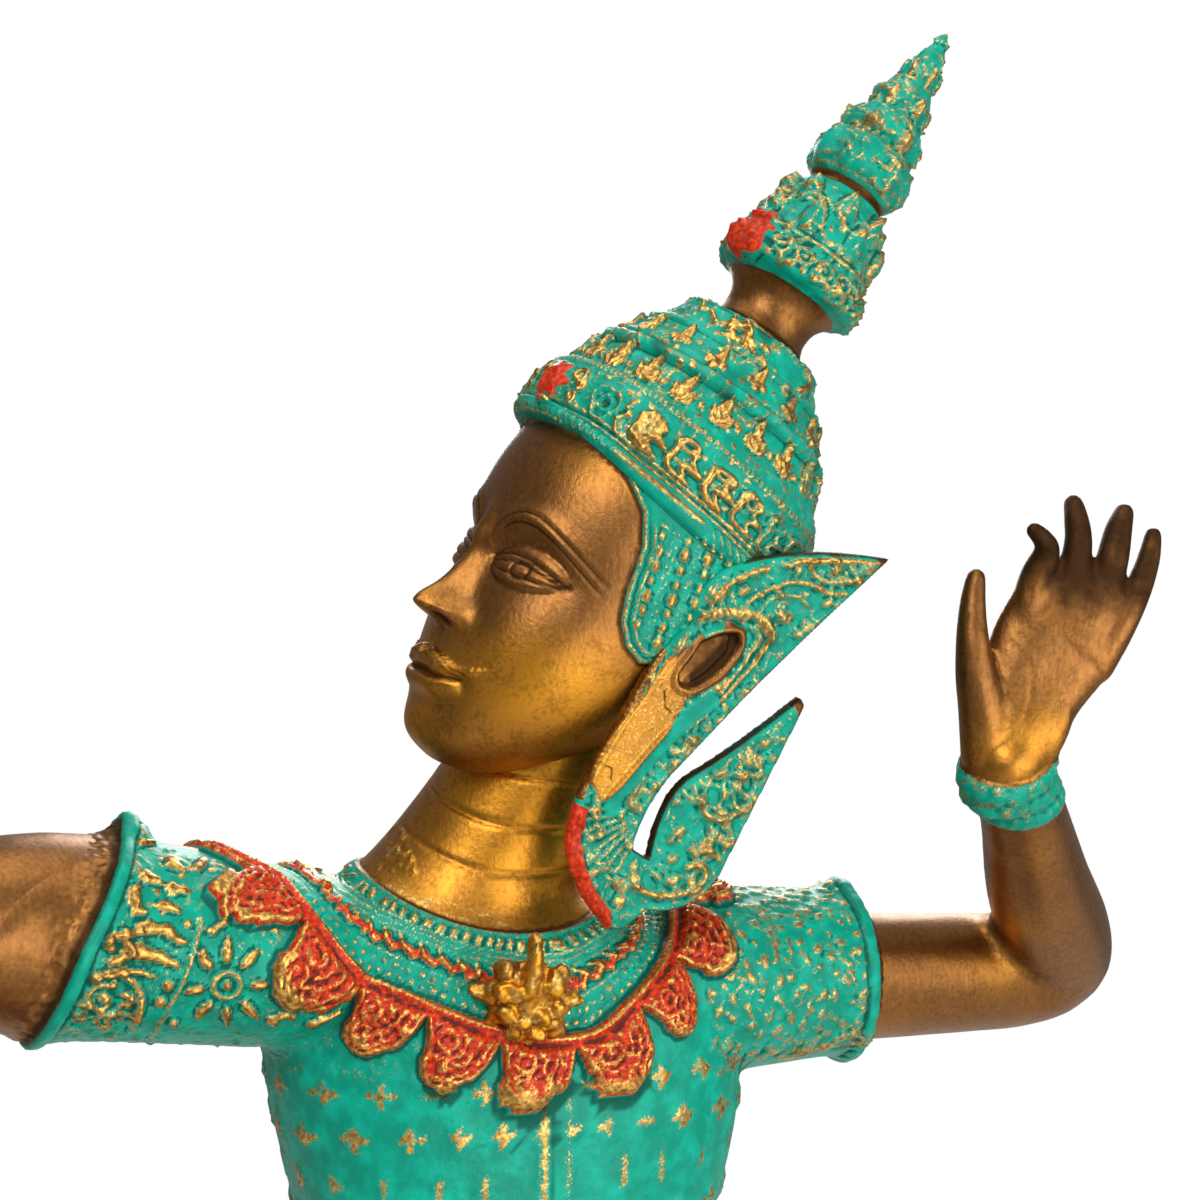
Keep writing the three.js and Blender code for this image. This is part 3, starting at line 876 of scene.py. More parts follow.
class Sketch:
    """Short words for the nodes that the finishes use."""

    def __init__(self, tree: bpy.types.NodeTree) -> None:
        """Clears the tree to start from nothing."""
        self.tree = tree
        tree.nodes.clear()

    def node(self, kind: str) -> bpy.types.Node:
        """A new node of that kind."""
        return self.tree.nodes.new(kind)

    def link(self, source: Socket, target: Socket) -> None:
        """Joins two sockets."""
        self.tree.links.new(source, target)

    def sheet_end(self) -> Socket:
        """The material's surface socket."""
        return self.node("ShaderNodeOutputMaterial").inputs["Surface"]

    def attribute(self, name: str) -> Socket:
        """One of the skin's attributes.

        Args:
            name: the attribute's name.

        Returns:
            Its value.
        """
        node = self.node("ShaderNodeAttribute")
        node.attribute_name = name
        return node.outputs["Fac"]

    def stretched(self, place: Socket, scale: Point) -> Socket:
        """Coordinates scaled by a different amount along each axis.

        Args:
            place: the coordinates.
            scale: a factor for each axis.

        Returns:
            The new coordinates.
        """
        node = self.node("ShaderNodeMapping")
        node.inputs["Scale"].default_value = scale
        self.link(place, node.inputs["Vector"])
        return node.outputs["Vector"]

    def noise(self, place: Socket, scale: float, detail: float,
              turn: Point = (0, 0, 0)) -> Socket:
        """Noise from about 0.3 to 0.7.

        Args:
            place: the coordinates.
            scale: how fine it is.
            detail: how many finer layers it has.
            turn: angles that turn the coordinates first, in radians.

        Returns:
            The noise.
        """
        if any(turn):
            node = self.node("ShaderNodeMapping")
            node.inputs["Rotation"].default_value = turn
            self.link(place, node.inputs["Vector"])
            place = node.outputs["Vector"]
        node = self.node("ShaderNodeTexNoise")
        node.inputs["Scale"].default_value = scale
        node.inputs["Detail"].default_value = detail
        self.link(place, node.inputs["Vector"])
        return node.outputs["Fac"]

    def _math(self, operation: str, *values: Socket | float) -> Socket:
        """A math node on sockets or numbers.

        Args:
            operation: the node's operation.
            values: its inputs in order.

        Returns:
            The result.
        """
        node = self.node("ShaderNodeMath")
        node.operation = operation
        for value, socket in zip(values, node.inputs):
            if isinstance(value, (int, float)):
                socket.default_value = value
            else:
                self.link(value, socket)
        return node.outputs[0]

    def scaled(self, value: Socket, factor: float) -> Socket:
        """The value times a number."""
        return self._math("MULTIPLY", value, factor)

    def product(self, one: Socket, other: Socket) -> Socket:
        """The product of two values."""
        return self._math("MULTIPLY", one, other)

    def peak(self, one: Socket, other: Socket) -> Socket:
        """The larger of two values."""
        return self._math("MAXIMUM", one, other)

    def sum(self, *values: Socket | float) -> Socket:
        """The sum of sockets and numbers.

        Args:
            values: what is added up.

        Returns:
            The sum.
        """
        total = values[0]
        for value in values[1:]:
            total = self._math("ADD", total, value)
        return total

    def between(self, value: Socket, low: float, high: float) -> Socket:
        """The value read as a smooth share of the way from low to high.

        Args:
            value: what is read.
            low: where the share is 0.
            high: where it is 1.

        Returns:
            The share.
        """
        node = self.node("ShaderNodeMapRange")
        node.interpolation_type = "SMOOTHSTEP"
        node.inputs["From Min"].default_value = low
        node.inputs["From Max"].default_value = high
        self.link(value, node.inputs["Value"])
        return node.outputs["Result"]

    def edge(self, share: Socket, noise: Socket, ragged: float,
             spread: float = 1.0) -> Socket:
        """A coat's share with its edge broken up by noise."""
        rough = self.sum(share, self.scaled(noise, ragged), -0.5 * ragged)
        return self.between(rough, 0.5 - 0.16 * spread, 0.5 + 0.16 * spread)

    def mix(self, share: Socket, low: object, high: object) -> Socket:
        """A colour between two colours or sockets.

        Args:
            share: how much there is of the second.
            low: the first colour.
            high: the second colour.

        Returns:
            The mixed colour.
        """
        node = self.node("ShaderNodeMix")
        node.data_type = "RGBA"
        self.link(share, node.inputs["Factor"])
        for value, socket in ((low, node.inputs[6]), (high, node.inputs[7])):
            if isinstance(value, tuple):
                socket.default_value = (*value, 1)
            else:
                self.link(value, socket)
        return node.outputs[2]


# The head


@dataclass
class Head:
    """The head on a drawing manual's proportions, with the crown's painted skirt.

    Sizes are in the head's own frame: x to its left, y backward, z up from the crown's brim.
    """

    across: int = 380
    along: int = 200
    eye: float = 15.0
    eye_height: float = -31.0
    brow_height: float = -22.5
    nose_base: float = -48.5
    mouth: float = -61.6
    chin: float = -75.0
    skirt: float = 1.5
    fullness: float = 2.15
    stations: Points = (
        # height, half-width, front, back
        (12, 31, -32, 38),
        (-6, 33.5, -38.5, 40),
        (-19, 33.8, -40.2, 38.5),
        (-31, 33, -39.4, 34),
        (-45, 31.2, -39.8, 25),
        (-57, 28, -39.6, 15),
        (-68, 22, -38.6, 3),
        (-77, 14, -36.4, -10),
        (-81, 6, -31, -19),
        (-81.8, 0.2, -26, -25.6),
    )
    tongue: Points = (
        # the skirt's outline on the side of the head, as y and z
        (-60, 30), (-60, 9), (-38, 6), (-31.5, 2.5), (-25, -2), (-20, -8.5), (-17.6, -16),
        (-17, -26), (-15.4, -34), (-12, -38.6), (-7, -41.3), (-3, -40), (1, -34), (4, -30),
        (14, -52), (60, -42), (60, 30),
    )

    def place(self, u: Array, v: Array) -> Array:
        """Points of the head's plain form in the world.

        Args:
            u: places round it, from 0 to 1.
            v: places along it, from 0 to 1.

        Returns:
            The points, in millimetres.
        """
        row = spline(np.asarray(self.stations, float), v)
        w = 2 * u - 1
        angle = math.pi * (0.62 * w + 0.38 * w**3)
        c, s = np.cos(angle), np.sin(angle)
        x = squared(s, self.fullness) * row[:, 1]
        middle, deep = (row[:, 2] + row[:, 3]) / 2, (row[:, 3] - row[:, 2]) / 2
        y = middle - squared(c, self.fullness) * deep
        local = np.stack([x, y, row[:, 0]], 1)
        local[:, 1] -= self.features(x, row[:, 0]) * ease(c, 0.1, 0.5)
        return HEAD.out(local)

    def features(self, x: Array, z: Array) -> Array:
        """How far brow, eyes, nose, lips, cheeks and chin stand forward of the plain form.

        Args:
            x: places across the face.
            z: heights.

        Returns:
            One distance for each place.
        """
        side = np.abs(x)
        lid = np.hypot(
            (side - self.eye) / 9.2, (z - self.eye_height - 0.05 * (side - self.eye)) / 5.2
        )
        forward = 2.7 * dome(lid, 1.0)
        forward += 1.5 * bell(z - self.brow_line(side), 3.4) * ease(side, 31, 20)
        down = np.clip((-25.0 - z) / (-25.0 - self.nose_base), 0, 1)
        under = ease(z, self.nose_base - 3.4, self.nose_base + 1.4)
        forward += (
            (1.2 + 8.6 * down**1.25) * bell(side, 3.0 + 2.0 * down) * ease(z, -16, -24) * under
        )
        forward -= 0.7 * bell(side, 1.6) * ease(z, -58.2, -55) * ease(z, -49, -51)
        upper = z - (self.mouth + 1.9 + 0.9 * bell(side - 2.8, 2.6) - 0.014 * side**2)
        forward += 2.0 * bell(upper, 2.3) * ease(side, 13, 6)
        lower = z - (self.mouth - 3.0 + 0.011 * side**2)
        forward += 2.3 * bell(lower, 2.7) * ease(side, 12, 4.5)
        forward -= 1.4 * bell(z - self.lip_line(side), 0.95) * ease(side, 12.8, 9.5)
        for lift, at, height, wide, tall in (
            (-2.4, self.eye, -29, 11, 6.4),  # the eye's socket
            (1.9, 0, self.nose_base + 2.8, 4.0, 3.8),  # the tip of the nose
            (3.7, 5.9, self.nose_base + 1.6, 2.7, 2.9),  # its wings
            (2.4, 0, self.mouth + 0.5, 15, 11),  # the round of the mouth
            (-1.0, 12.4, self.mouth, 1.8, 2.2),  # its corners
            (-1.1, 0, -68.6, 8, 1.9),  # the crease above the chin
            (2.2, 0, self.chin, 8.5, 5.5),  # the chin
            (1.2, 20, -46, 11, 11),  # the cheeks
        ):
            forward += lift * bell(np.hypot((side - at) / wide, (z - height) / tall), 1.0)
        return forward

    def brow_line(self, side: Array) -> Array:
        """The brow's height at a distance from the face's middle: one even arch."""
        share = np.clip((side - 4.0) / 25, 0, 1)
        return self.brow_height - 4.2 + 8.0 * np.sin(math.pi * share**0.85) ** 0.9 - 2.2 * share

    def lip_line(self, side: Array) -> Array:
        """The height of the line between the lips."""
        return self.mouth - 0.5 + 0.3 * np.cos(side * 0.55) + 0.007 * side**2

    def build(self, material: Material) -> Object:
        """The finished head.

        Args:
            material: its finish.

        Returns:
            The new object.
        """
        skin = Skin(shell("figure_head", self.across, self.along, self.place))
        x, y, z = HEAD.into(skin.points).T
        self.engrave(skin, np.abs(x), y, z)
        self.dress(skin, y, z)
        return skin.finish(material)

    def engrave(self, skin: Skin, side: Array, y: Array, z: Array) -> None:
        """Brow lines, lids, iris, moustache, a warm tone, and a golden reflection painted on the
        lower face.

        Args:
            skin: the head's skin.
            side: distances from the face's middle.
            y: places backward.
            z: heights.
        """
        front = ease(y, -14, -20)
        brow = z - self.brow_line(side)
        inner = ease(side, 3.4, 5) * ease(side, 30, 28)
        out, high = side - self.eye, z - self.eye_height
        iris = np.hypot(out - 0.6, high + 0.5)
        for distance, width, depth, share in (
            (brow - 1.5, 0.42, 0.5, inner),
            (brow + 1.2, 0.42, 0.4, inner * ease(side, 5, 8)),
            (high - 2.6 + 0.026 * out**2 + 0.06 * out, 0.45, 0.7, ease(np.abs(out), 10.6, 9.6)),
            (high - 0.9 + 0.021 * out**2, 0.42, 0.7, ease(np.abs(out), 9.8, 8.8)),
            (high + 2.2 - 0.012 * out**2, 0.38, 0.5, ease(np.abs(out), 9.4, 8.4)),
            (iris - 2.2, 0.4, 0.3, ease(high, 2.4, 1.4)),
            (z - self.lip_line(side), 0.5, 0.3, ease(side, 13, 11)),
        ):
            mark = bell(distance, width) * share * front
            skin.raise_by(-depth * mark)
            skin.paint(DARK, 0.85 * mark)
        droop = 0.1 * np.clip(side - 1, 0, 8) ** 1.35 - 0.1 * np.clip(side - 10, 0, 9) ** 1.6
        hair = z - self.mouth - 4.3 + droop
        body = ease(side, 0.6, 2.0) * ease(side, 18.5, 14)
        width = 1.7 - 0.06 * side
        moustache = ease(np.abs(hair), width, width * 0.6) * body * front
        strands = 0.5 + 0.5 * np.cos(2 * math.pi * (hair * 0.95 + side * 0.16))
        skin.raise_by(moustache * (0.45 + 0.4 * strands))
        skin.paint(DARK, 0.675 * moustache * (1 - strands))
        nostril = np.hypot((side - 4.4) / 2.0, (z - self.nose_base + 0.9) / 1.1)
        skin.raise_by(-1.2 * bell(nostril, 1.0) * front)
        skin.paint(DARK, 1.1 * bell(nostril, 1.1) * front)
        broad = 0.5 + 0.5 * np.clip(skin.waves(30, 9), -1, 1)
        # a golden reflection painted on the lower face, over a warm tone that varies at random
        skin.paint(WARM, ease(z, -18, -62) * (0.4 + 0.2 * broad) + 0.15 * broad)
        skin.paint(DARK, 0.5 * bell(np.hypot(side - 12.6, z - self.mouth), 1.3) * front)

    def dress(self, skin: Skin, y: Array, z: Array) -> None:
        """The painted skirt of the crown: a tongue before each ear, in corded columns.

        Args:
            skin: the head's skin.
            y: places backward.
            z: heights.
        """
        inside = inside_distance(y, z, self.tongue)
        worn = ease(inside, -0.45, 0.25)
        skin.raise_by(self.skirt * worn)
        skin.paint(TEAL, worn)
        skin.clear(worn, DARK, WARM)
        lean = y + 0.12 * (z + 12) - 1.2
        inner = ease(inside, 2.6, 3.6) * ease(z, -8.6, -10)
        column, number = cell(lean, 3.15)
        cords = number.astype(int) % 2 == 0
        double = bell(np.abs(column) - 0.55, 0.3) * (0.7 + 0.3 * np.cos(z * 5 + number))
        drop_place, row = cell(z + 1.1 * number, 3.5)
        size = 1.05 + 0.3 * np.sin(row * 2.3 + number * 1.7)
        drops = dome(np.hypot(column, drop_place * 0.66) / size, 1.0)
        before = ease(y, 12, 7) * inner
        skin.raise_by(np.where(cords, 0.6 * double, 1.05 * drops) * before)
        skin.paint(GOLD, np.where(cords, 0.62 * double, 0.92 * drops) * before)
        behind = ease(y, 9, 13) * inner
        stripe, row = cell(z + 0.75 * y, 4.0)
        tick, _ = cell(z - 0.75 * y + 1.2 * row, 2.1)
        herring = (
            dome(tick, 0.85) * ease(np.abs(stripe), 1.5, 1.1)
            + bell(np.abs(stripe) - 2.0, 0.3) * 0.6
        )
        skin.emboss(herring * behind, 0.6, GOLD, 0.4)
        edge = bell(inside - 1.5, 0.4) * ease(y, 4, -2)
        skin.raise_by(-0.5 * edge)
        skin.emboss(bell(inside - 2.5, 0.4) * ease(y, 4, -2) * ease(z, -9, -12), 0.55, GOLD, 0.62)
        skin.weather(inner * 0.6 * ease(y, 26, 20), 0.2, 0.5)


# The crown


@dataclass
class Crown:
    """The painted cap of the crown: a rolled brim and three tiers with rings of upright leaves.

    Sizes are in the crown's own frame; its section is a circle flattened from side to side.
    """

    across: int = 460
    along: int = 172
    densest: float = 45.0
    palmette_step: float = 14.4
    palmette_first: float = 49.5
    palmette: Points = (
        # its outline, across and up from its middle: an arch over two points
        (-4.3, 0), (-4.2, 3.2), (-2, 4.9), (1.4, 4.3), (3.1, 2.6), (1.7, 1.1), (4.8, -0.6),
        (4.5, -1.6), (0.8, -2), (3.7, -4.2), (3.2, -4.9), (-0.5, -5.2), (-3.6, -4.4), (-4.6, -2.4),
    )
    first_wing: Points = ((-7.4, 4.4), (-9, 1.4), (-7, 0.4), (-9.9, -2.2), (-7.8, -4), (-10.2, -5))
    leaf_step: float = 360 / 21
    leaf_first: float = 32.0
    blob_step: float = 22.5
    degree: float = 0.733
    ring_at: float = 29.5
    profile: Points = (
        # radius, height
        (0, -10.6), (38, -10.6), (41.4, -10.4), (42.7, -9.2), (42.6, -7.4), (41.9, -6.2),
        (41.7, -3), (42, 0), (42, 4), (41.6, 8), (40.6, 11), (39.4, 12.8), (37.4, 14.4), (36.1, 17),
        (34.7, 20), (33.4, 22.6), (32.6, 25), (31.2, 27.4), (28.8, 30), (26.9, 33), (25.4, 35),
        (23.9, 36.6), (22.5, 38.6), (20.9, 41.2), (19.9, 43.2), (18.7, 43.9), (0, 44),
    )

    def place(self, u: Array, v: Array) -> Array:
        """Points of the crown's plain form in the world.

        Args:
            u: places round it, from 0 to 1.
            v: places along it, from 0 to 1.

        Returns:
            The points, in millimetres.
        """
        line, length = profile_line(self.profile, 6)
        foot, top = np.interp([1, 24.9], np.linspace(0, len(self.profile) - 1, len(length)), length)
        at = np.interp(v, [0, 0.03, 0.965, 1], [0, foot, top, length[-1]])
        radius, height = np.interp(at, length, line[:, 0]), np.interp(at, length, line[:, 1])
        w = 2 * u - 1
        phi = math.radians(self.densest) + math.pi * (0.6 * w + 0.4 * w**3)
        signed = np.degrees(np.arctan2(np.sin(phi), np.cos(phi)))
        before = np.where(signed < 0, np.clip(-signed - 30, 0, None), signed)
        height = height + 7.4 * ease(before, 88, 5) * ease(height, -1.2, -9)
        return CROWN.out(
            np.stack([CROWN_FLATTEN * radius * np.sin(phi), -radius * np.cos(phi), height], 1)
        )

    def build(self, material: Material) -> Object:
        """The finished crown.

        Args:
            material: its finish.

        Returns:
            The new object.
        """
        skin = Skin(shell("figure_crown", self.across, self.along, self.place))
        x, y, h = CROWN.into(skin.points).T
        phi = np.degrees(np.arctan2(x / CROWN_FLATTEN, -y))
        radius = np.hypot(x / CROWN_FLATTEN, y)
        skin.paint(TEAL, np.ones_like(h))
        skin.paint(WARM, ease(skin.waves(23, 3), -0.2, 1))
        low = h + 0.06 * np.clip(np.abs(phi) - 28, 0, 75)
        self.brim(skin, phi, low)
        self.band(skin, phi, low)
        self.leaves(skin, phi, h, low)
        self.upper_tiers(skin, phi, h, radius)
        skin.weather(ease(low, -2.2, -0.5) * ease(radius, 17.5, 19) * (1 - skin.plain), 0.4, 0.64)
        skin.paint(DARK, 0.6 * ease(skin.waves(11, 79), -0.1, 1.0) * ease(h, 15, 24))
        return skin.finish(material)

    def brim(self, skin: Skin, phi: Array, h: Array) -> None:
        """The rolled edge, its small hoops and two cords, and a herring-bone behind.

        Args:
            skin: the crown's skin.
            phi: degrees round the crown, 0 in front.
            h: heights over the brim.
        """
        arc = phi * self.degree
        aside, _ = cell(arc, 2.5)
        before = ease(phi, 84, 78)
        h = h - 0.9 * ease(np.abs(phi), 60, 30)
        hoop = np.hypot(aside, np.minimum(h + 3.6, 0))
        hoops = bell(hoop - 0.85, 0.36) * ease(h, -2.2, -2.7) * ease(h, -5.4, -5.0)
        fore = ease(np.abs(phi), 46, 36)
        skin.emboss(hoops * before * fore, 0.6, GOLD, 0.3)
        skin.emboss(bell(h + 3.8, 1.0) * before * (1 - fore), 0.55, GOLD, 0.66)
        for height, lift in ((-1.7, 0.55), (-0.2, 0.5)):
            share = 0.35 + 0.35 * ease(np.abs(phi), 25, 45)
            skin.emboss(bell(h - height, 0.34), lift)
            skin.paint(GOLD, share * bell(h - height, 0.5))
        skin.raise_by(-0.3 * bell(h + 1.0, 0.35))
        tick, _ = cell(arc * 0.7 + (h + 8) * 0.8, 2.2)
        groups, _ = cell(h + 4, 3.2)
        herring = dome(tick, 0.7) * ease(np.abs(groups), 1.5, 1.1) * (1 - before) * ease(h, -10, -9)
        skin.emboss(herring * ease(h, -1.6, -2.2), 0.6, GOLD, 0.35)

    def band(self, skin: Skin, phi: Array, h: Array) -> None:
        """The broad band: a red flower before, a ringed one beside it, then palmettes.

        Args:
            skin: the crown's skin.
            phi: degrees round the crown, 0 in front.
            h: heights over the brim.
        """
        field = ease(h, 0.1, 0.6) * ease(h, 12.2, 11.8)
        side = np.abs(phi)
        aside, number = cell(side - self.palmette_first, self.palmette_step)
        s, t = aside * 0.59, h - 5.2
        s = s + 0.5 * skin.waves(6, 72)
        t = t / 1.05 + 0.5 * skin.waves(6, 73)
        inside = inside_distance(s, t, self.palmette)
        there = field * (side > self.palmette_first - self.palmette_step / 2)
        body = ease(inside, 0, 0.7) * there
        open_part = ease(inside, 1.3, 1.9) * (number > 0.5)
        loop = bell(np.hypot((s + 1.1) / 1.1, t - 2.6) - 1.2, 0.5) * there
        skin.emboss(body * (1 - 0.8 * open_part), 1.3)
        skin.emboss(loop * open_part, 0.9)
        worn = 0.62 + 0.3 * bell(inside - 0.9, 0.8)
        fade = ease(side, 112, 84)
        skin.paint(
            GOLD, np.maximum(body * (1 - open_part) * worn, 0.8 * loop) * (0.35 + 0.65 * fade)
        )
        wing = line_distance((side - self.palmette_first) * self.degree, t, self.first_wing)
        skin.emboss(bell(wing, 0.6) * field, 0.9, GOLD, 0.85)
        s, t = (side - self.ring_at) * self.degree, h - 4.9
        reach, turn = np.hypot(s, t), np.arctan2(t, s)
        skin.emboss(bell(reach - 3.9 - 0.6 * np.sin(3 * turn), 0.75) * field, 1.1)
        skin.emboss(bell(reach - 1.9, 0.5), 0.6)
        skin.raise_by(-0.9 * dome(reach, 1.2))
        skin.paint(DARK, 0.7 * dome(reach, 1.1))
        for x, y, turned, size in ((12.8, 8.4, 1, 2.5), (16.5, 6.0, -1, 1.5), (15.2, 2.4, 1, 1.6)):
            scroll = spiral((x * self.degree, y), -0.9 * turned, 1.3 * turned, size)
            skin.emboss(bell(line_distance(side * self.degree, h, scroll), 0.65), 1.0, GOLD, 0.92)
        s, t = (phi - 3.5) * self.degree, h - 4.6
        reach = np.hypot(s, t)
        ragged = 5.4 + 0.9 * np.sin(7 * np.arctan2(t, s) + 0.6) + 0.5 * skin.waves(5, 71)
        star = ease(reach, ragged, ragged - 0.9)
        skin.plain = np.maximum(skin.plain, star)
        skin.raise_by(2.0 * dome(reach, 6.2) + 0.8 * star + 0.6 * star * bell(reach - 2.5, 0.7))
        skin.paint(RED, star)
        skin.clear(star, TEAL)
        skin.paint(DARK, 0.5 * bell(reach - ragged - 0.3, 0.4))

    def leaves(self, skin: Skin, phi: Array, h: Array, low: Array) -> None:
        """The speckled cord over the band, and the row of standing buds with beads between them.

        Args:
            skin: the crown's skin.
            phi: degrees round the crown, 0 in front.
            h: heights over the brim.
            low: heights over a line that sinks towards the back.
        """
        aside, _ = cell(phi * 0.71, 1.7)
        skin.emboss(dome(np.hypot(aside, low - 13.0), 0.85), 0.6, GOLD, 0.55)
        skin.emboss(bell(low - 12.2, 0.35), 0.4, GOLD, 0.5)
        turn, _ = cell(phi - self.leaf_first, self.leaf_step)
        s, t = turn * 0.63, h - 14.4
        s = s + 0.45 * skin.waves(5, 74)
        sides = flame(np.abs(s), t, (0.7, 0.2), (2.7, 4.4), 1.2, -0.1)
        bud = np.maximum(flame(s, t, (0, -0.2), (0.4, 8.8), 2.1), sides)
        chevron, _ = cell(t - 1.2 * np.abs(s), 2.9)
        skin.raise_by(1.0 * bud + 1.1 * bud * ease(t, 1, 8) - 0.45 * bud * bell(chevron, 0.45))
        fade = 0.5 + 0.5 * ease(np.abs(phi - 52), 75, 45)
        skin.paint(GOLD, ease(bud, 0.15, 0.6) * fade * (0.9 - 0.3 * bell(chevron, 0.5)))
        between, _ = cell(phi - self.leaf_first - self.leaf_step / 2, self.leaf_step)
        skin.emboss(dome(np.hypot(between * 0.63, t - 2.3), 1.25), 1.0, GOLD, 0.72)
        skin.paint(DARK, 0.4 * bell(bud - 0.05, 0.06) * (t > 0) * (t < 9))

    def upper_tiers(self, skin: Skin, phi: Array, h: Array, radius: Array) -> None:
        """A smooth worn roll, a tier of lumpy buds, a thin step and the last tier's scrolls.

        Args:
            skin: the crown's skin.
            phi: degrees round the crown, 0 in front.
            h: heights over the brim.
            radius: distances from its axis.
        """
        skin.emboss(dome(h - 24.4, 1.7), 1.2)
        skin.raise_by(-0.5 * bell(h - 22.2, 0.4) - 0.6 * bell(h - 26.7, 0.4))
        skin.paint(WARM, bell(h - 24.6, 1.2))
        skin.clear(0.42 * bell(h - 24.6, 1.0) * ease(skin.waves(14, 77), -0.6, 0.4), TEAL)
        skin.paint(DARK, 0.4 * bell(h - 26.8, 0.5))
        turn, number = cell(phi - 7, self.blob_step)
        s, t = turn * 0.5, h - 27.6 - 0.8 * np.sin(number * 2.4)
        beads = dome(np.hypot(np.abs(s) - 2.0, t - 1.7), 1.2)
        lump = np.maximum(flame(s, t, (-0.5, -0.4), (0.6, 6.2), 1.9), beads)
        skin.raise_by(1.0 * lump + 0.8 * lump * ease(t, 2, 5.5))
        skin.paint(GOLD, ease(lump, 0.2, 0.7) * 0.86)
        skin.emboss(dome(h - 34.9, 0.9), 0.8)
        skin.raise_by(-0.4 * bell(h - 36.3, 0.35))
        wall = ease(radius, 18.8, 19.6)
        s, t = phi * 0.385, h
        for path in (
            ((16, 42.4), (18.5, 40), (17, 38.6), (20, 37.6), (22.5, 35.4)),
            ((16.5, 40.4), (20.6, 40.6), (22, 38.4)),
            ((19.6, 42.6), (21.4, 41), (24, 37.6), (28, 34.6)), ((5, 42.6), (6.4, 40.6), (8, 41)),
            ((9.6, 41), (11.6, 39.8), (13.4, 38.4)), ((43, 42), (45, 40), (42.6, 38.4), (40, 36.6)),
        ):
            for run in (-138.6, -69.3, 0):
                line = line_distance(s - run, t, path)
                skin.emboss(bell(line, 0.85) * wall * ease(h, 27, 29), 1.2, GOLD, 0.95)
        patch = ease(np.hypot((phi - 56) * 0.34, (h - 38.4) * 1.3), 9, 5) * wall
        mass = ease(skin.waves(4.6, 75), -0.3, 0.5) * patch
        skin.emboss(mass, 1.1, GOLD, 0.8)
        skin.paint(WARM, ease(h, 41.5, 43.2))
        skin.clear(0.4 * ease(h, 42, 43.4) * ease(skin.waves(9, 78), -0.4, 0.6), TEAL)
        top = ease(radius, 19.0, 17.5) * (h > 40)
        skin.clear(0.7 * top, TEAL)
        skin.paint(DARK, 0.5 * top)


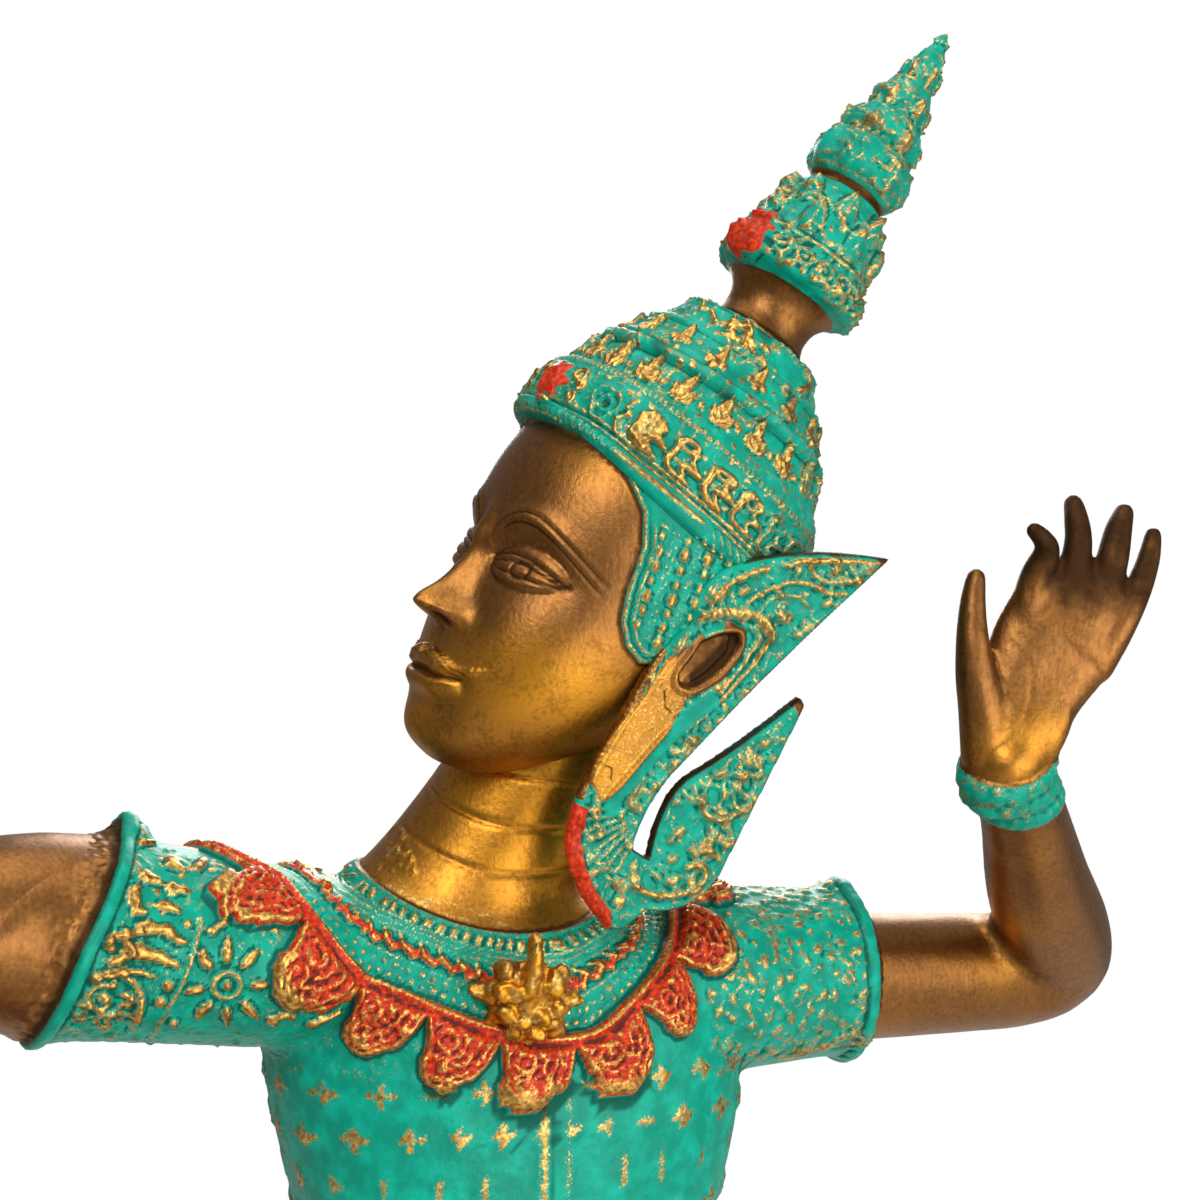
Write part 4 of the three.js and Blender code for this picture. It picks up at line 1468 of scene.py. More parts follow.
@dataclass
class Spire:
    """The crown's spire, a separate casting of turned rings with flame-shaped leaves."""

    across: int = 150
    along: int = 190
    profile: Points = (
        # radius, height
        (0, 44.35), (12.2, 44.35), (13.3, 44.9), (12.2, 47.4), (11.5, 50.4), (12.2, 54.4),
        (14.6, 57.6), (17.6, 59.4), (18.7, 60.8), (18.8, 63.2), (17.6, 66.8), (16.6, 70.4),
        (15.7, 75.4), (13.4, 81.6), (11.2, 86.6), (10.1, 89), (11.4, 90.9), (13, 94), (12.9, 98.6),
        (11.4, 101.8), (9.5, 104), (10.2, 107), (8.7, 110.5), (6.7, 114), (7.1, 117.2),
        (5.7, 120.6), (4.4, 124), (4.8, 126.8), (3.6, 130.2), (2.4, 133.6), (1.3, 137.4),
        (0, 139.6),
    )

    def place(self, u: Array, v: Array) -> Array:
        """Points of the spire's plain form in the world.

        Args:
            u: places round it, from 0 to 1.
            v: places along it, from 0 to 1.

        Returns:
            The points, in millimetres.
        """
        line, length = profile_line(self.profile, 5)
        at = np.interp(v, [0, 0.04, 1], [0, 11.5, length[-1]])
        radius, height = np.interp(at, length, line[:, 0]), np.interp(at, length, line[:, 1])
        phi = 2 * math.pi * u
        return CROWN.out(np.stack([radius * np.sin(phi), -radius * np.cos(phi), height], 1))

    def build(self, material: Material) -> Object:
        """The finished spire.

        Args:
            material: its finish.

        Returns:
            The new object.
        """
        skin = Skin(shell("crown_spire_skin", self.across, self.along, self.place))
        x, y, h = CROWN.into(skin.points).T
        phi = np.degrees(np.arctan2(x, -y))
        radius = np.hypot(x, y)
        skin.paint(TEAL, ease(h, 57.2, 58.8) * (1 - 0.9 * bell(h - 89, 1.4)))
        skin.paint(
            DARK, 0.3 * ease(h, 58, 52) + 0.7 * bell(h - 89, 1.0) + 0.6 * bell(h - 45.6, 0.8)
        )
        aside, _ = cell(phi * DEGREE * 18, 3.2)
        skin.emboss(dome(np.hypot(aside, h - 61.6), 1.05), 0.6, GOLD, 0.66)
        eyelet = np.hypot(cell(phi - 38, 19)[0] * 0.31, h - 64.6)
        skin.emboss(np.maximum(bell(eyelet - 1.9, 0.5), dome(eyelet, 0.9)), 1.0, GOLD, 0.4)
        skin.emboss(bell(h - 69.4, 0.45), 0.7, GOLD, 0.56)
        skin.raise_by(-0.4 * bell(h - 70.7, 0.4))
        for low, reach, turns, offset in ((70.8, 9.5, 8, 0), (78.4, 8.0, 8, 22.5)):
            turn, _ = cell(phi - offset, 360 / turns)
            s = turn * DEGREE * radius
            leaf = flame(s, h, (0, low - 0.3), (0, low + reach), 3.0)
            rib = bell(s, 0.35) * (leaf > 0)
            skin.raise_by(1.0 * leaf + 1.8 * leaf * ease(h, low + 1, low + reach))
            skin.paint(GOLD, np.maximum(bell(leaf - 0.25, 0.2) * (leaf > 0), rib * 0.7) * 0.9)
        for low, reach in ((103.6, 6.0), (113.6, 5.4), (123.8, 5.0)):
            turn, _ = cell(phi - 30, 60)
            s = turn * DEGREE * radius
            leaf = flame(s, h, (0, low - 0.6), (0, low + reach), 2.0 * radius / 7)
            skin.emboss(leaf, 1.0, GOLD, 0.62)
        turn, _ = cell(phi, 45)
        skin.raise_by(0.35 * np.cos(math.pi * turn / 22.5) * ease(h, 90.5, 93) * ease(h, 103, 100))
        skin.paint(GOLD, 0.6 * bell(h - 91.4, 0.5) + 0.6 * bell(h - 102.6, 0.6))
        crust = ease(h, 58.5, 60) * (1 - bell(h - 89, 2.4))
        skin.emboss(skin.worms(6, 9, 68, 0.28) * crust, 0.8, GOLD, 0.6)
        skin.raise_by(0.45 * skin.waves(8, 67) * crust)
        skin.weather(crust, 0.42, 0.6)
        s, t = (phi - 8) * DEGREE * 18, h - 65.0
        reach = np.hypot(s, t)
        skin.raise_by(2.2 * dome(reach, 7.4))
        wild = skin.waves(6, 68)
        ragged = 6.4 + 0.7 * np.sin(7 * np.arctan2(t, s)) + 0.5 * wild
        skin.emboss(ease(reach, ragged, ragged - 0.9), 0.8 + 0.3 * wild, RED, 1.0)
        skin.plain = ease(reach, ragged + 0.6, ragged - 0.4)
        skin.clear(skin.plain, GOLD)
        return skin.finish(material)


# The ear ornaments


@dataclass
class EarPlate:
    """A flat ear ornament with relief outside: an upper wing, a lobed middle and a leaf.

    Its outline is drawn in the head's y and z; side is 1 for the left one and -1 for the right.
    """

    side: int
    voxel: float = 0.52
    thickness: float = 3.1
    standoff: float = 34.05
    roll: float = 2.5
    splay: float = -6.0
    outline: Sequence[Points] = (
        # each entry is a corner, or a bend and the corner after it
        ((14, -103),), ((0, -97), (-6, -87)), ((-9, -80), (-8, -70)), ((-5, -46),),
        ((-4, -34), (1, -28)), ((-3, -20), (4, -12.5)), ((18, -1), (44.5, 4.8)),
        ((32, -19), (22.7, -39)), ((12, -64),), ((8.5, -76), (10.8, -83)), ((15.8, -84),),
        ((11.5, -68), (18, -61)), ((26, -52), (37, -34.5)), ((39, -36),), ((36, -82),),
        ((33, -94), (20.7, -96)), ((17, -102),),
    )
    ear_outline: Points = (
        (-2, -38), (-4, -48), (-6.5, -58), (-8, -66), (-7.6, -71), (-2.5, -75), (0.5, -69.5),
        (3, -62), (6, -54), (7.5, -45), (14, -38), (16.5, -30), (15, -24.5), (9, -24), (4.5, -27),
        (2, -33),
    )
    helix: Points = (
        # the curled rim round the hollow of the ear
        (7, -43), (3.4, -43), (1.6, -40), (3, -35), (4, -30.5), (8, -27), (13, -25.3), (15, -28),
        (14.6, -32), (12.6, -37), (9.4, -41), (7, -43),
    )
    lumps: Points = (
        # y, z and radius of the relief's larger lumps
        (10, -16, 1.7), (5, -18.5, 1.6), (31, -3.6, 1.8), (37.5, -2.6, 1.4), (23, -18, 2.2),
        (28.5, -20.5, 1.6), (18.5, -6.2, 1.3), (22, -24, 1.5), (32.5, -11, 1.6), (21.5, -37.5, 1.4),
        (18.5, -46.5, 1.7), (13.6, -53, 1.6), (11, -60, 1.5), (9, -66.5, 1.6), (32, -48, 1.9),
        (36, -50.5, 1.5), (24, -58.5, 2.1), (29.5, -57, 1.5), (22, -66, 1.9), (33.6, -64.6, 1.9),
        (28.4, -67.6, 1.9), (20, -75, 2.0), (28, -76, 2.3), (25.4, -77.6, 1.5), (34, -55.6, 1.4),
        (21.2, -81.8, 1.8), (23.4, -86.6, 1.9), (34, -74, 1.4),
    )
    cords: Sequence[tuple[Points, float, float, float]] = (
        # a path in y and z, its width, height and share of gold
        (((0, -35.5), (0, -29.5), (3, -25), (9, -21.6), (16.5, -20.4), (21, -24)), 1.2, 1.0, 0.7),
        (((20.5, -22), (21, -26), (20, -32), (17.3, -39), (14.2, -45.5), (10.5, -51.5), (7.5, -57),
          (5, -63), (4.2, -68.5), (4, -73)), 0.5, 0.9, 0.8),
        (((18.6, -25), (18, -31), (15.6, -38.5), (12.2, -45.4), (9, -51)), 0.5, 0.8, 0.7),
        (((12, -18.5), (15, -14.5), (20.5, -10), (25.5, -8.5), (32, -8.5), (36, -7)),
         0.5, 0.8, 0.8),
        (((16, -19), (18.5, -14.4), (24, -12.4), (28, -13.4)), 0.5, 0.7, 0.6),
        (((19.5, -4.5), (25, -2.8), (31.5, 0.4), (38, 2.4), (43, 3.4)), 0.9, 0.9, 0.95),
        (((3, -20.5), (5, -16.5), (9, -12), (13.5, -9)), 0.7, 0.9, 0.8),
        (((23.5, -4), (25.5, -5.6), (30, -6.2), (37, -3.6), (41, -2)), 0.5, 0.7, 0.75),
        (((26, -82.4), (29, -80.6), (31.5, -82.4), (31, -85.6), (28, -88.6), (23.5, -90.6),
          (18.5, -91.5), (15, -91)), 0.85, 1.3, 0.75),
        (((21.5, -66), (24, -68.6), (29, -69), (32.5, -66), (35, -63)), 0.7, 1.0, 0.7),
        (((20, -96.5), (27, -93.8), (32, -90), (34, -85.5)), 0.8, 1.0, 0.7),
        (((26, -79), (29.5, -76.6), (33.4, -78)), 0.7, 1.0, 0.7),
    )

    def plan(self) -> list[tuple[float, float]]:
        """The outline as a ring of points.

        Returns:
            Its points, as y and z.
        """
        ring = [self.outline[-1][-1]]
        for entry in self.outline:
            start, end = ring[-1], entry[-1]
            if len(entry) == 1:
                ring.append(end)
                continue
            for k in range(1, 9):
                f = k / 8
                ring.append(tuple(
                    (1 - f) ** 2 * a + 2 * f * (1 - f) * b + f**2 * c
                    for a, b, c in zip(start, entry[0], end)
                ))
        return ring[1:]

    def frame(self) -> Frame:
        """The plate's frame: x out of its face, y backward and z up, like the head's.

        Returns:
            The frame.
        """
        roll, splay = math.radians(self.roll), math.radians(self.splay)
        turn = Matrix.Rotation(roll, 3, "Y") @ Matrix.Rotation(splay, 3, "Z")
        turned = np.diag([self.side, 1, 1]) @ np.array(turn)
        origin = HEAD.out(np.array([self.side * self.standoff, 0, 0]))
        return Frame(origin, turned.T @ HEAD.axes)

    def build(self, material: Material) -> Object:
        """The finished ornament.

        Args:
            material: its finish.

        Returns:
            The new object.
        """
        here = self.frame()
        ring = self.plan()
        code = bmesh.new()
        corners = [code.verts.new((0.0, y * MM, z * MM)) for y, z in ring]
        code.faces.new(corners)
        grown = bmesh.ops.extrude_face_region(code, geom=list(code.faces))["geom"]
        moved = [g for g in grown if isinstance(g, bmesh.types.BMVert)]
        bmesh.ops.translate(code, verts=moved, vec=(self.thickness * MM, 0, 0))
        bmesh.ops.recalc_face_normals(code, faces=code.faces)
        raw = store("plate", code)
        name = "ear_ornament_left_skin" if self.side > 0 else "ear_ornament_right_skin"
        obj = melt(name, [raw], self.voxel, 3)
        local = coordinates(obj.data)
        x, y, z = local.T
        move_to(obj.data, here.out(local))
        if self.side < 0:
            code = bmesh.new()
            code.from_mesh(obj.data)
            bmesh.ops.reverse_faces(code, faces=code.faces)
            code.to_mesh(obj.data)
            code.free()
        skin = Skin(obj)
        inside = inside_distance(y, z, ring)
        outer = ease(x, 0.6 * self.thickness, 0.9 * self.thickness)
        skin.paint(TEAL, np.full_like(x, 0.9))
        self.dress(skin, y, z, inside, outer)
        return skin.finish(material)

    def dress(self, skin: Skin, y: Array, z: Array, inside: Array, outer: Array) -> None:
        """The ear with its golden lobe, the relief of wing and leaf, and the worn edges.

        Args:
            skin: the plate's skin.
            y: places backward.
            z: heights.
            inside: distances inside the outline.
            outer: 1 on the outer face, 0 on the inner one.
        """
        ear = ease(inside_distance(y, z, self.ear_outline), -0.3, 0.4) * outer
        strip = line_distance(
            y, z, ((13.5, -43), (9.5, -49), (6, -57), (3, -65), (0, -73), (0.6, -75))
        )
        cut = ease(strip, 2.4, 1.7) * outer
        close = (1 - ear) * (1 - cut) * outer * ease(inside, 0.5, 1.2)
        skin.emboss(skin.worms(6.4, 11, 61, 0.34) * close, 0.7, GOLD, 0.56)
        skin.emboss(ease(skin.waves(5.2, 65), 0.2, 0.8) * close, 0.8, GOLD, 0.56)
        skin.weather(close * 0.9, 0.32, 0.6)
        for path, width, lift, share in self.cords:
            line = line_distance(y, z, smooth_line(path, 4))
            skin.emboss(bell(line, 1.25 * width) * close, 1.15 * lift, GOLD, share)
        for at_y, at_z, size in self.lumps:
            reach = np.hypot((y - at_y) - 0.4 * (z - at_z), z - at_z)
            skin.emboss(dome(reach, size) * close, 1.0, GOLD, 0.66)
        rib, _ = cell(np.degrees(np.arctan2(y - 11, -(z + 72))), 9)
        reach = np.hypot(y - 11, z + 72)
        fanned = ease(reach, 6, 8) * ease(reach, 19, 17) * (y < 10) * (z < -76)
        skin.emboss(bell(rib * reach * DEGREE, 0.5) * fanned * close, 0.7, GOLD, 0.6)
        self.ear(skin, y, z, ear)
        skin.emboss(cut, 0.8)
        skin.clear(cut, GOLD)
        side = ease(inside, 3.1, 2.5) * ease(y - 0.5 * np.clip(-90 - z, 0, 20), 8, 6)
        red = side * ease(z, -76.5, -78)
        skin.raise_by((1.1 * red + 0.5 * red * skin.waves(6, 66)) * outer)
        skin.plain = np.maximum(skin.plain, red)
        skin.paint(RED, red)
        skin.clear(red, TEAL, GOLD)
        solder = ease(inside, 1.3, 0.8) * ease(z, -77, -75) * ease(z, -34, -38) * ease(y, 6, 2)
        bead_place, _ = cell(z, 1.5)
        skin.raise_by(0.3 * solder * dome(bead_place, 0.8))
        skin.clear(solder, TEAL)
        skin.paint(GOLD, 0.45 * solder)
        skin.paint(DARK, 0.3 * solder)
        rim = ease(inside, 0.75, 0.25) * (1 - side)
        skin.paint(DARK, 0.7 * rim)
        skin.clear(0.5 * rim, TEAL)
        for tip_y, tip_z in ((44.5, 4.8), (39, -35)):
            worn = ease(np.hypot(y - tip_y, z - tip_z), 5, 2)
            skin.clear(worn, TEAL, GOLD)
            skin.paint(DARK, 0.5 * worn)
        skin.clear(0.4 * ease(skin.waves(8, 63), 0.6, 1.4) * outer, TEAL)

    def ear(self, skin: Skin, y: Array, z: Array, ear: Array) -> None:
        """The bare ear: its curled rim, the hollow in it, and the long lobe with a square end.

        Args:
            skin: the plate's skin.
            y: places backward.
            z: heights.
            ear: 1 on the ear, 0 elsewhere.
        """
        skin.clear(ear, TEAL, GOLD)
        lobe_part = ear * ease(z + 0.5 * y, -34, -40)
        skin.paint(WARM, 0.5 * lobe_part)
        skin.paint(GOLD, 0.42 * lobe_part)
        skin.raise_by(1.0 * ear)
        ring = line_distance(y, z, smooth_line(self.helix, 4))
        within = ease(inside_distance(y, z, self.helix), 0.2, 1.2)
        skin.raise_by((0.8 * bell(ring, 0.8) - 1.6 * within) * ear)
        skin.emboss(
            bell(line_distance(y, z, ((6, -41), (9, -37), (11.6, -31), (11, -28))), 0.7) * ear, 0.9
        )
        deep = line_distance(y, z, ((12.6, -28.4), (11, -34), (7.6, -39.6)))
        # painted shade in the ear's hollow, along its deepest line and beside the rim
        skin.paint(
            DARK, (0.85 * bell(deep, 1.3) + 0.45 * within + 0.5 * bell(ring - 1.2, 0.4)) * ear
        )
        top = ease(z + 0.9 * y, -27, -24) * ease(y, 9.5, 7.5) * ear * (1 - within)
        skin.paint(TEAL, top)
        skin.paint(GOLD, 0.55 * bell(ring, 0.7) * top)
        for path in (((0.6, -45), (2.6, -48.6), (4.4, -49)), ((-7, -66), (-4, -66.4), (-3, -69))):
            skin.paint(DARK, 0.7 * bell(line_distance(y, z, path), 0.4) * ear)
        skin.paint(DARK, 0.5 * ease(skin.waves(3.2, 64), 0.7, 1.5) * ear)


# The trunk: neck, jacket, sleeves, collar and pendant


@dataclass
class Sleeve:
    """A short sleeve that flares to a slanted cuff with a smooth rim."""

    start: Point
    end: Point
    radii: Points
    mouth: Points
    rim: float = 3.1
    slant: float = 0.36
    skew: float = 0.24
    tuck: float = 0.17
    low_peak: float = 0.8
    mean_radius: float = 25.0

    def __post_init__(self) -> None:
        """Works out the sleeve's own directions."""
        along = np.subtract(self.end, self.start).astype(float)
        self.reach = float(np.linalg.norm(along))
        self.outward = along / self.reach
        self.across = unit(np.array([0, 1, 0]) - self.outward * self.outward[1])
        upright = np.cross(self.outward, self.across)
        self.upright = upright * np.sign(upright[2])

    def skin(self) -> Object:
        """The plain sleeve.

        Returns:
            The new object.
        """
        rings = []
        for share, radius, *deep in [*self.radii, *self.mouth]:
            lean = max(0, share) * self.outward
            front = (self.upright - self.slant * lean) * radius
            aside = (self.across - self.skew * lean) * (deep[0] if deep else radius)
            rings.append([*(self.start + self.outward * self.reach * share), *aside, *front])
        body = lofted("sleeve", rings, 64, 7)
        points = coordinates(body.data)
        away = points - self.start
        share = np.clip(away @ self.outward / self.reach, 0, 1)
        back = self.tuck * share * np.clip(-away @ self.upright, 0, None)
        move_to(body.data, points - np.outer(back, self.outward))
        rim = self.radii[-1][1]
        peak = (
            self.end + self.outward * (-self.slant * rim - 2.5)
            + self.upright * (rim - self.low_peak)
        )
        return join("sleeve", [body, bead(peak, (4.6, 7.4, 3.9))])

    def from_rim(self, points: Array) -> Array:
        """How far points lie behind the cuff's rim; negative beyond it.

        Args:
            points: places in millimetres.

        Returns:
            One distance for each place.
        """
        away = points - self.end
        up = away @ self.upright
        slanted = (
            self.slant * up + self.skew * (away @ self.across) + self.tuck * np.clip(-up, 0, None)
        )
        return -(away @ self.outward + slanted)

    def around(self, points: Array) -> tuple[Array, Array]:
        """Places along the sleeve and round it, in millimetres.

        Args:
            points: places in millimetres.

        Returns:
            The places along it, and those round it.
        """
        away = points - self.start
        turn = np.arctan2(away @ self.upright, -(away @ self.across))
        return away @ self.outward, turn * self.mean_radius


@dataclass
class Torso:
    """The neck and the jacket over the trunk, with its wide collar and the pendant."""

    voxel: float = 2.06
    fine: int = 2
    leaf_width: float = 17.93
    leaf_first: float = 1.5
    leaf_band: float = 3.2
    nowhere: float = 99.0
    flower_step: float = 11.0
    leaf: Points = (
        # a leaf's outline in shares of its width: along the edge and out from the band
        (0, -0.3), (0, 0), (0.1, 0.28), (0.15, 0.44), (0.12, 0.54), (0.2, 0.74), (0.36, 0.84),
        (0.54, 0.8), (0.67, 0.67), (0.81, 0.56), (0.93, 0.3), (1, 0), (1, -0.3),
    )
    shoulder_leaf: Points = (
        # the one on the right shoulder is longer and leans outwards
        (-0.26, -0.3), (-0.24, 0), (-0.12, 0.1), (-0.2, 0.44), (-0.2, 0.8), (-0.14, 0.96),
        (-0.02, 1.04), (0.3, 1.04), (0.64, 0.94), (0.73, 0.78), (0.79, 0.58), (0.85, 0.38),
        (0.95, 0.26), (1, 0), (1, -0.3),
    )
    edge: Points = (
        # the line round the body where the collar's red band starts
        (8, 30, 424), (-14, 27, 429), (-36, 21, 441), (-56, 9, 452.4), (-67.5, -4, 455.6),
        (-62.5, -13.5, 453.6), (-54.5, -19, 451.4), (-50.5, -25, 446.5), (-45.5, -28.2, 439),
        (-38, -28.5, 430.8), (-26.7, -31, 424.8), (-13.6, -33.7, 418.8), (-3.6, -34.8, 415.4),
        (6, -35.2, 413.2), (17.6, -34.4, 413.6), (26.5, -32.7, 418.9), (35.4, -29.6, 425.4),
        (41.5, -24, 430.2), (47.5, -12.5, 436.5), (50, 0, 439.5), (46, 14, 437), (30, 26, 429),
    )
    trunk: Points = (
        # height, x, y, half-width, half-depth, lean in degrees
        (200, 8, 4, 30, 28, 0), (216, 8, 4, 47, 36, 0), (238, 8, 4, 49, 37, 0),
        (262, 8, 3, 42, 31, 0), (290, 8, 2, 35, 26, 1), (326, 8, 2, 41, 29.5, 4),
        (362, 8, 1, 52, 34.5, 6), (394, 8, 1, 60, 36, 8), (416, 8, 1, 60, 34, 8),
        (430, 7, 1, 53, 30, 8), (440, 4, 1, 40, 25, 8), (446, 2, 1, 26, 19, 8),
    )
    neck: Points = (
        (-3, 1, 436, 33, 27), (1, 0, 447, 26, 24), (6, -2, 458, 22.5, 22.5),
        (13, -5, 471, 21, 21.5), (23, -8, 485, 21.5, 22), (31, -10, 498, 22, 23),
    )
    sun_rays: Points = (
        # direction in degrees and reach
        (90, 10.6), (48, 9.8), (128, 9.8), (-5, 8.9), (183, 8.9), (224, 9.8), (266, 9.2),
        (306, 10.4),
    )
    sleeve_drops: Points = (
        # the right sleeve's lumps: place across and up from the sun's middle, and radius
        (-11.8, 1.2, 1.35), (-13.6, -2.4, 1.35), (-11.5, -7.8, 1.1), (-7.9, 24.3, 1.4),
        (-22.9, 20.1, 1.2), (-8.2, 13.5, 1.0), (-19.8, -0.2, 0.9), (-18.6, -5.2, 1.0),
        (-22.4, 2.6, 0.8), (9.6, 10.4, 0.8), (13, -8.6, 1.2), (-4.6, 7.6, 0.8),
    )
    sleeve_scrolls: Sequence[tuple[Point, float, float, float]] = (
        # the right sleeve's scrolls: middle, first angle, turns and radius
        ((-25.2, -0.4), 1.0, 1.3, 3.3), ((-20.4, -2.6), 1.8, -1.3, 2.9),
        ((-25, -5.8), 0.2, 1.2, 2.8), ((-29.8, -3.2), 0.9, 1.2, 2.4),
    )
    sleeve_flames: Sequence[tuple[Points, float]] = (
        # the right sleeve's strokes: path and half-width
        (((-27.7, 11.2), (-23.5, 12.9), (-17.5, 12.7)), 1.5), (((-24, 12.5), (-22.6, 9.6)), 1.2),
        (((-20.4, 12.6), (-19, 9.4)), 1.1),
        (((-16.9, 13.8), (-12.4, 12.9), (-10.4, 10.6), (-8.2, 9.8)), 1.35),
        (((-19, 9.6), (-14.5, 7.8), (-9.9, 5.4)), 1.7), (((-22.3, 7.8), (-18.4, 8.4)), 1.1),
        (((-26.5, 4.8), (-21.6, 5.6), (-17, 4.7), (-13.9, 2.9)), 1.0),
        (((-19.3, 21.3), (-18.6, 17.4), (-16.7, 16.6)), 1.1), (((-18.4, 23.8), (-14.6, 21.9)), 1.0),
        (((-13.9, 17.8), (-10, 16)), 1.0), (((-12.6, 20.8), (-9.7, 19.6)), 0.9),
        (((-22.5, 30.6), (-17, 29.4)), 0.8), (((-15.4, 28.6), (-10.6, 27.2)), 0.8),
        (((-9.6, 27.6), (-4.6, 28.8)), 0.8), (((-14, 25.4), (-10.4, 23.4)), 0.7),
        (((8.8, -9.2), (14.5, -6)), 1.1), (((17, -11.5), (23, -8.6)), 1.1),
        (((-3, 11.6), (-1, 13.2), (1.4, 12)), 0.8),
    )
    near: Sleeve = field(default_factory=lambda: Sleeve(
        (-46, 0, 429.4), (-104, -15, 440.4),
        ((-0.3, 18, 24), (0.1, 20.4, 28), (0.45, 21.4, 27), (0.85, 22.6, 24.6), (1, 24.8, 25.6)),
        ((1.07, 23.4), (1.16, 22.3), (1.28, 21.4), (1.4, 18))))
    far: Sleeve = field(default_factory=lambda: Sleeve(
        (56, 2, 417), (107.4, 7.4, 415.6),
        ((-0.3, 20, 24), (0.1, 23, 28), (0.45, 22.4, 25.6), (0.85, 21.4, 23), (1, 22.8)),
        ((1.1, 17.2), (1.2, 12)),
        slant=0.02, skew=-0.18, tuck=0.0, low_peak=2.4))
    sheet: Frame = field(default_factory=lambda: Frame.facing(
        (-70, -32, 430), TOWARDS_CAMERA, (0, 0, 1)))
    boss: Frame = field(default_factory=lambda: Frame.facing(
        (0.3, -38.0, 423), (-0.2, -0.9, 0.28), (0.06, -0.3, 0.95)))

    def build(self, material: Material) -> Object:
        """The finished trunk.

        Args:
            material: its finish.

        Returns:
            The new object.
        """
        rings = []
        for z, x, y, wide, deep, lean in self.trunk:
            tilt = math.radians(lean)
            rings.append([x, y, z, wide * math.cos(tilt), 0, -wide * math.sin(tilt), 0, deep, 0])
        trunk, neck = lofted("trunk", rings, 72, 6, 2.5), tube("neck", self.neck, sides=40)
        obj = melt(
            "figure_torso_body", [trunk, neck, self.near.skin(), self.far.skin()], self.voxel, 5
        )
        refine(obj, self.seen, self.fine, 3)
        skin = Skin(obj)
        self.jacket(skin)
        free = self.collar(skin)
        self.near_sleeve(skin, free)
        self.far_sleeve(skin, free)
        self.cuffs(skin)
        self.throat(skin)
        return join_finished(
            "figure_torso", [skin.finish(material), self.pendant(material)], material
        )

    def seen(self, points: Array, normals: Array) -> Array:
        """Whether points lie on the finely worked front of the shoulders and the neck.

        Args:
            points: places in millimetres.
            normals: the skin's normals there.

        Returns:
            True or false for each.
        """
        x, y, z = points.T
        before = (z > 402) & (y < 9) & (np.abs(x) < 116)
        return before & (normals @ unit(TOWARDS_CAMERA) > -0.12)

    def neckline(self, points: Array) -> Array:
        """How far points lie below the jacket's neckline, in height.

        Args:
            points: places in millimetres.

        Returns:
            One distance for each, negative above the line.
        """
        x, y, z = points.T
        from_neck = np.hypot(x - 3 - 0.5 * np.clip(z - 447, 0, 60), 1.1 * (y + 2)) - 37
        line = 441.1 + 0.0064 * np.clip(x - 8, -45, 34) ** 2 + 0.2 * y
        return np.maximum(line - z, np.where(z < 470, from_neck, -9))

    def beside_edge(self, points: Array, normals: Array) -> tuple[Array, Array]:
        """Where points lie along the collar's edge line, and how far outside it, in millimetres.

        Args:
            points: places in millimetres.
            normals: the skin's normals there.

        Returns:
            The places along the line, and the distances, which are `nowhere` far from it.
        """
        line = smooth_line([*self.edge, self.edge[0]], 5)
        best = np.full(len(points), np.inf)
        along = np.zeros(len(points))
        foot, way = np.zeros_like(points), np.zeros_like(points)
        passed = 0.0
        for start, end in zip(line, line[1:]):
            step = end - start
            length = float(np.linalg.norm(step))
            share = np.clip((points - start) @ step / length**2, 0, 1)
            spot = start + share[:, None] * step
            gap = np.linalg.norm(points - spot, axis=1)
            nearer = gap < best
            best[nearer], along[nearer] = gap[nearer], passed + length * share[nearer]
            foot[nearer], way[nearer] = spot[nearer], step / length
            passed += length
        away = points - foot
        lift = (away * normals).sum(1)
        flat = np.sqrt(np.maximum(best**2 - lift**2, 0))
        side = np.sign((away * np.cross(way, normals)).sum(1))
        near = (best < 29) & (np.abs(lift) < 0.62 * best + 4)
        return along, np.where(near, side * flat, self.nowhere)

    def jacket(self, skin: Skin) -> None:
        """Green paint below the neckline, with rows of small gold flowers in its free parts.

        Args:
            skin: the trunk's skin.
        """
        below = self.neckline(skin.points)
        x, y, z = skin.points.T
        inside = ease(below, -0.5, 0.5)
        skin.paint(TEAL, inside)
        skin.paint(DARK, 0.5 * bell(below, 0.7) * (z > 425))
        skin.raise_by(0.9 * inside)
        turn = np.arctan2(x - 8, -y)
        arc = turn * 46
        row, number = cell(z - 5, self.flower_step)
        aside, _ = cell(arc + self.flower_step / 2 * (number % 2), self.flower_step)
        low = ease(z, 408, 400)
        skin.emboss(flower(aside, row, 3.1, 4) * low, 0.9, GOLD, 0.85)
        skin.emboss(bell(np.abs(arc) - 3.4, 1.1) * low * (y < 0), 0.8, GOLD, 0.8)
        skin.clear(0.8 * ease(np.abs(turn), 0.05, 0.03) * low, GOLD)

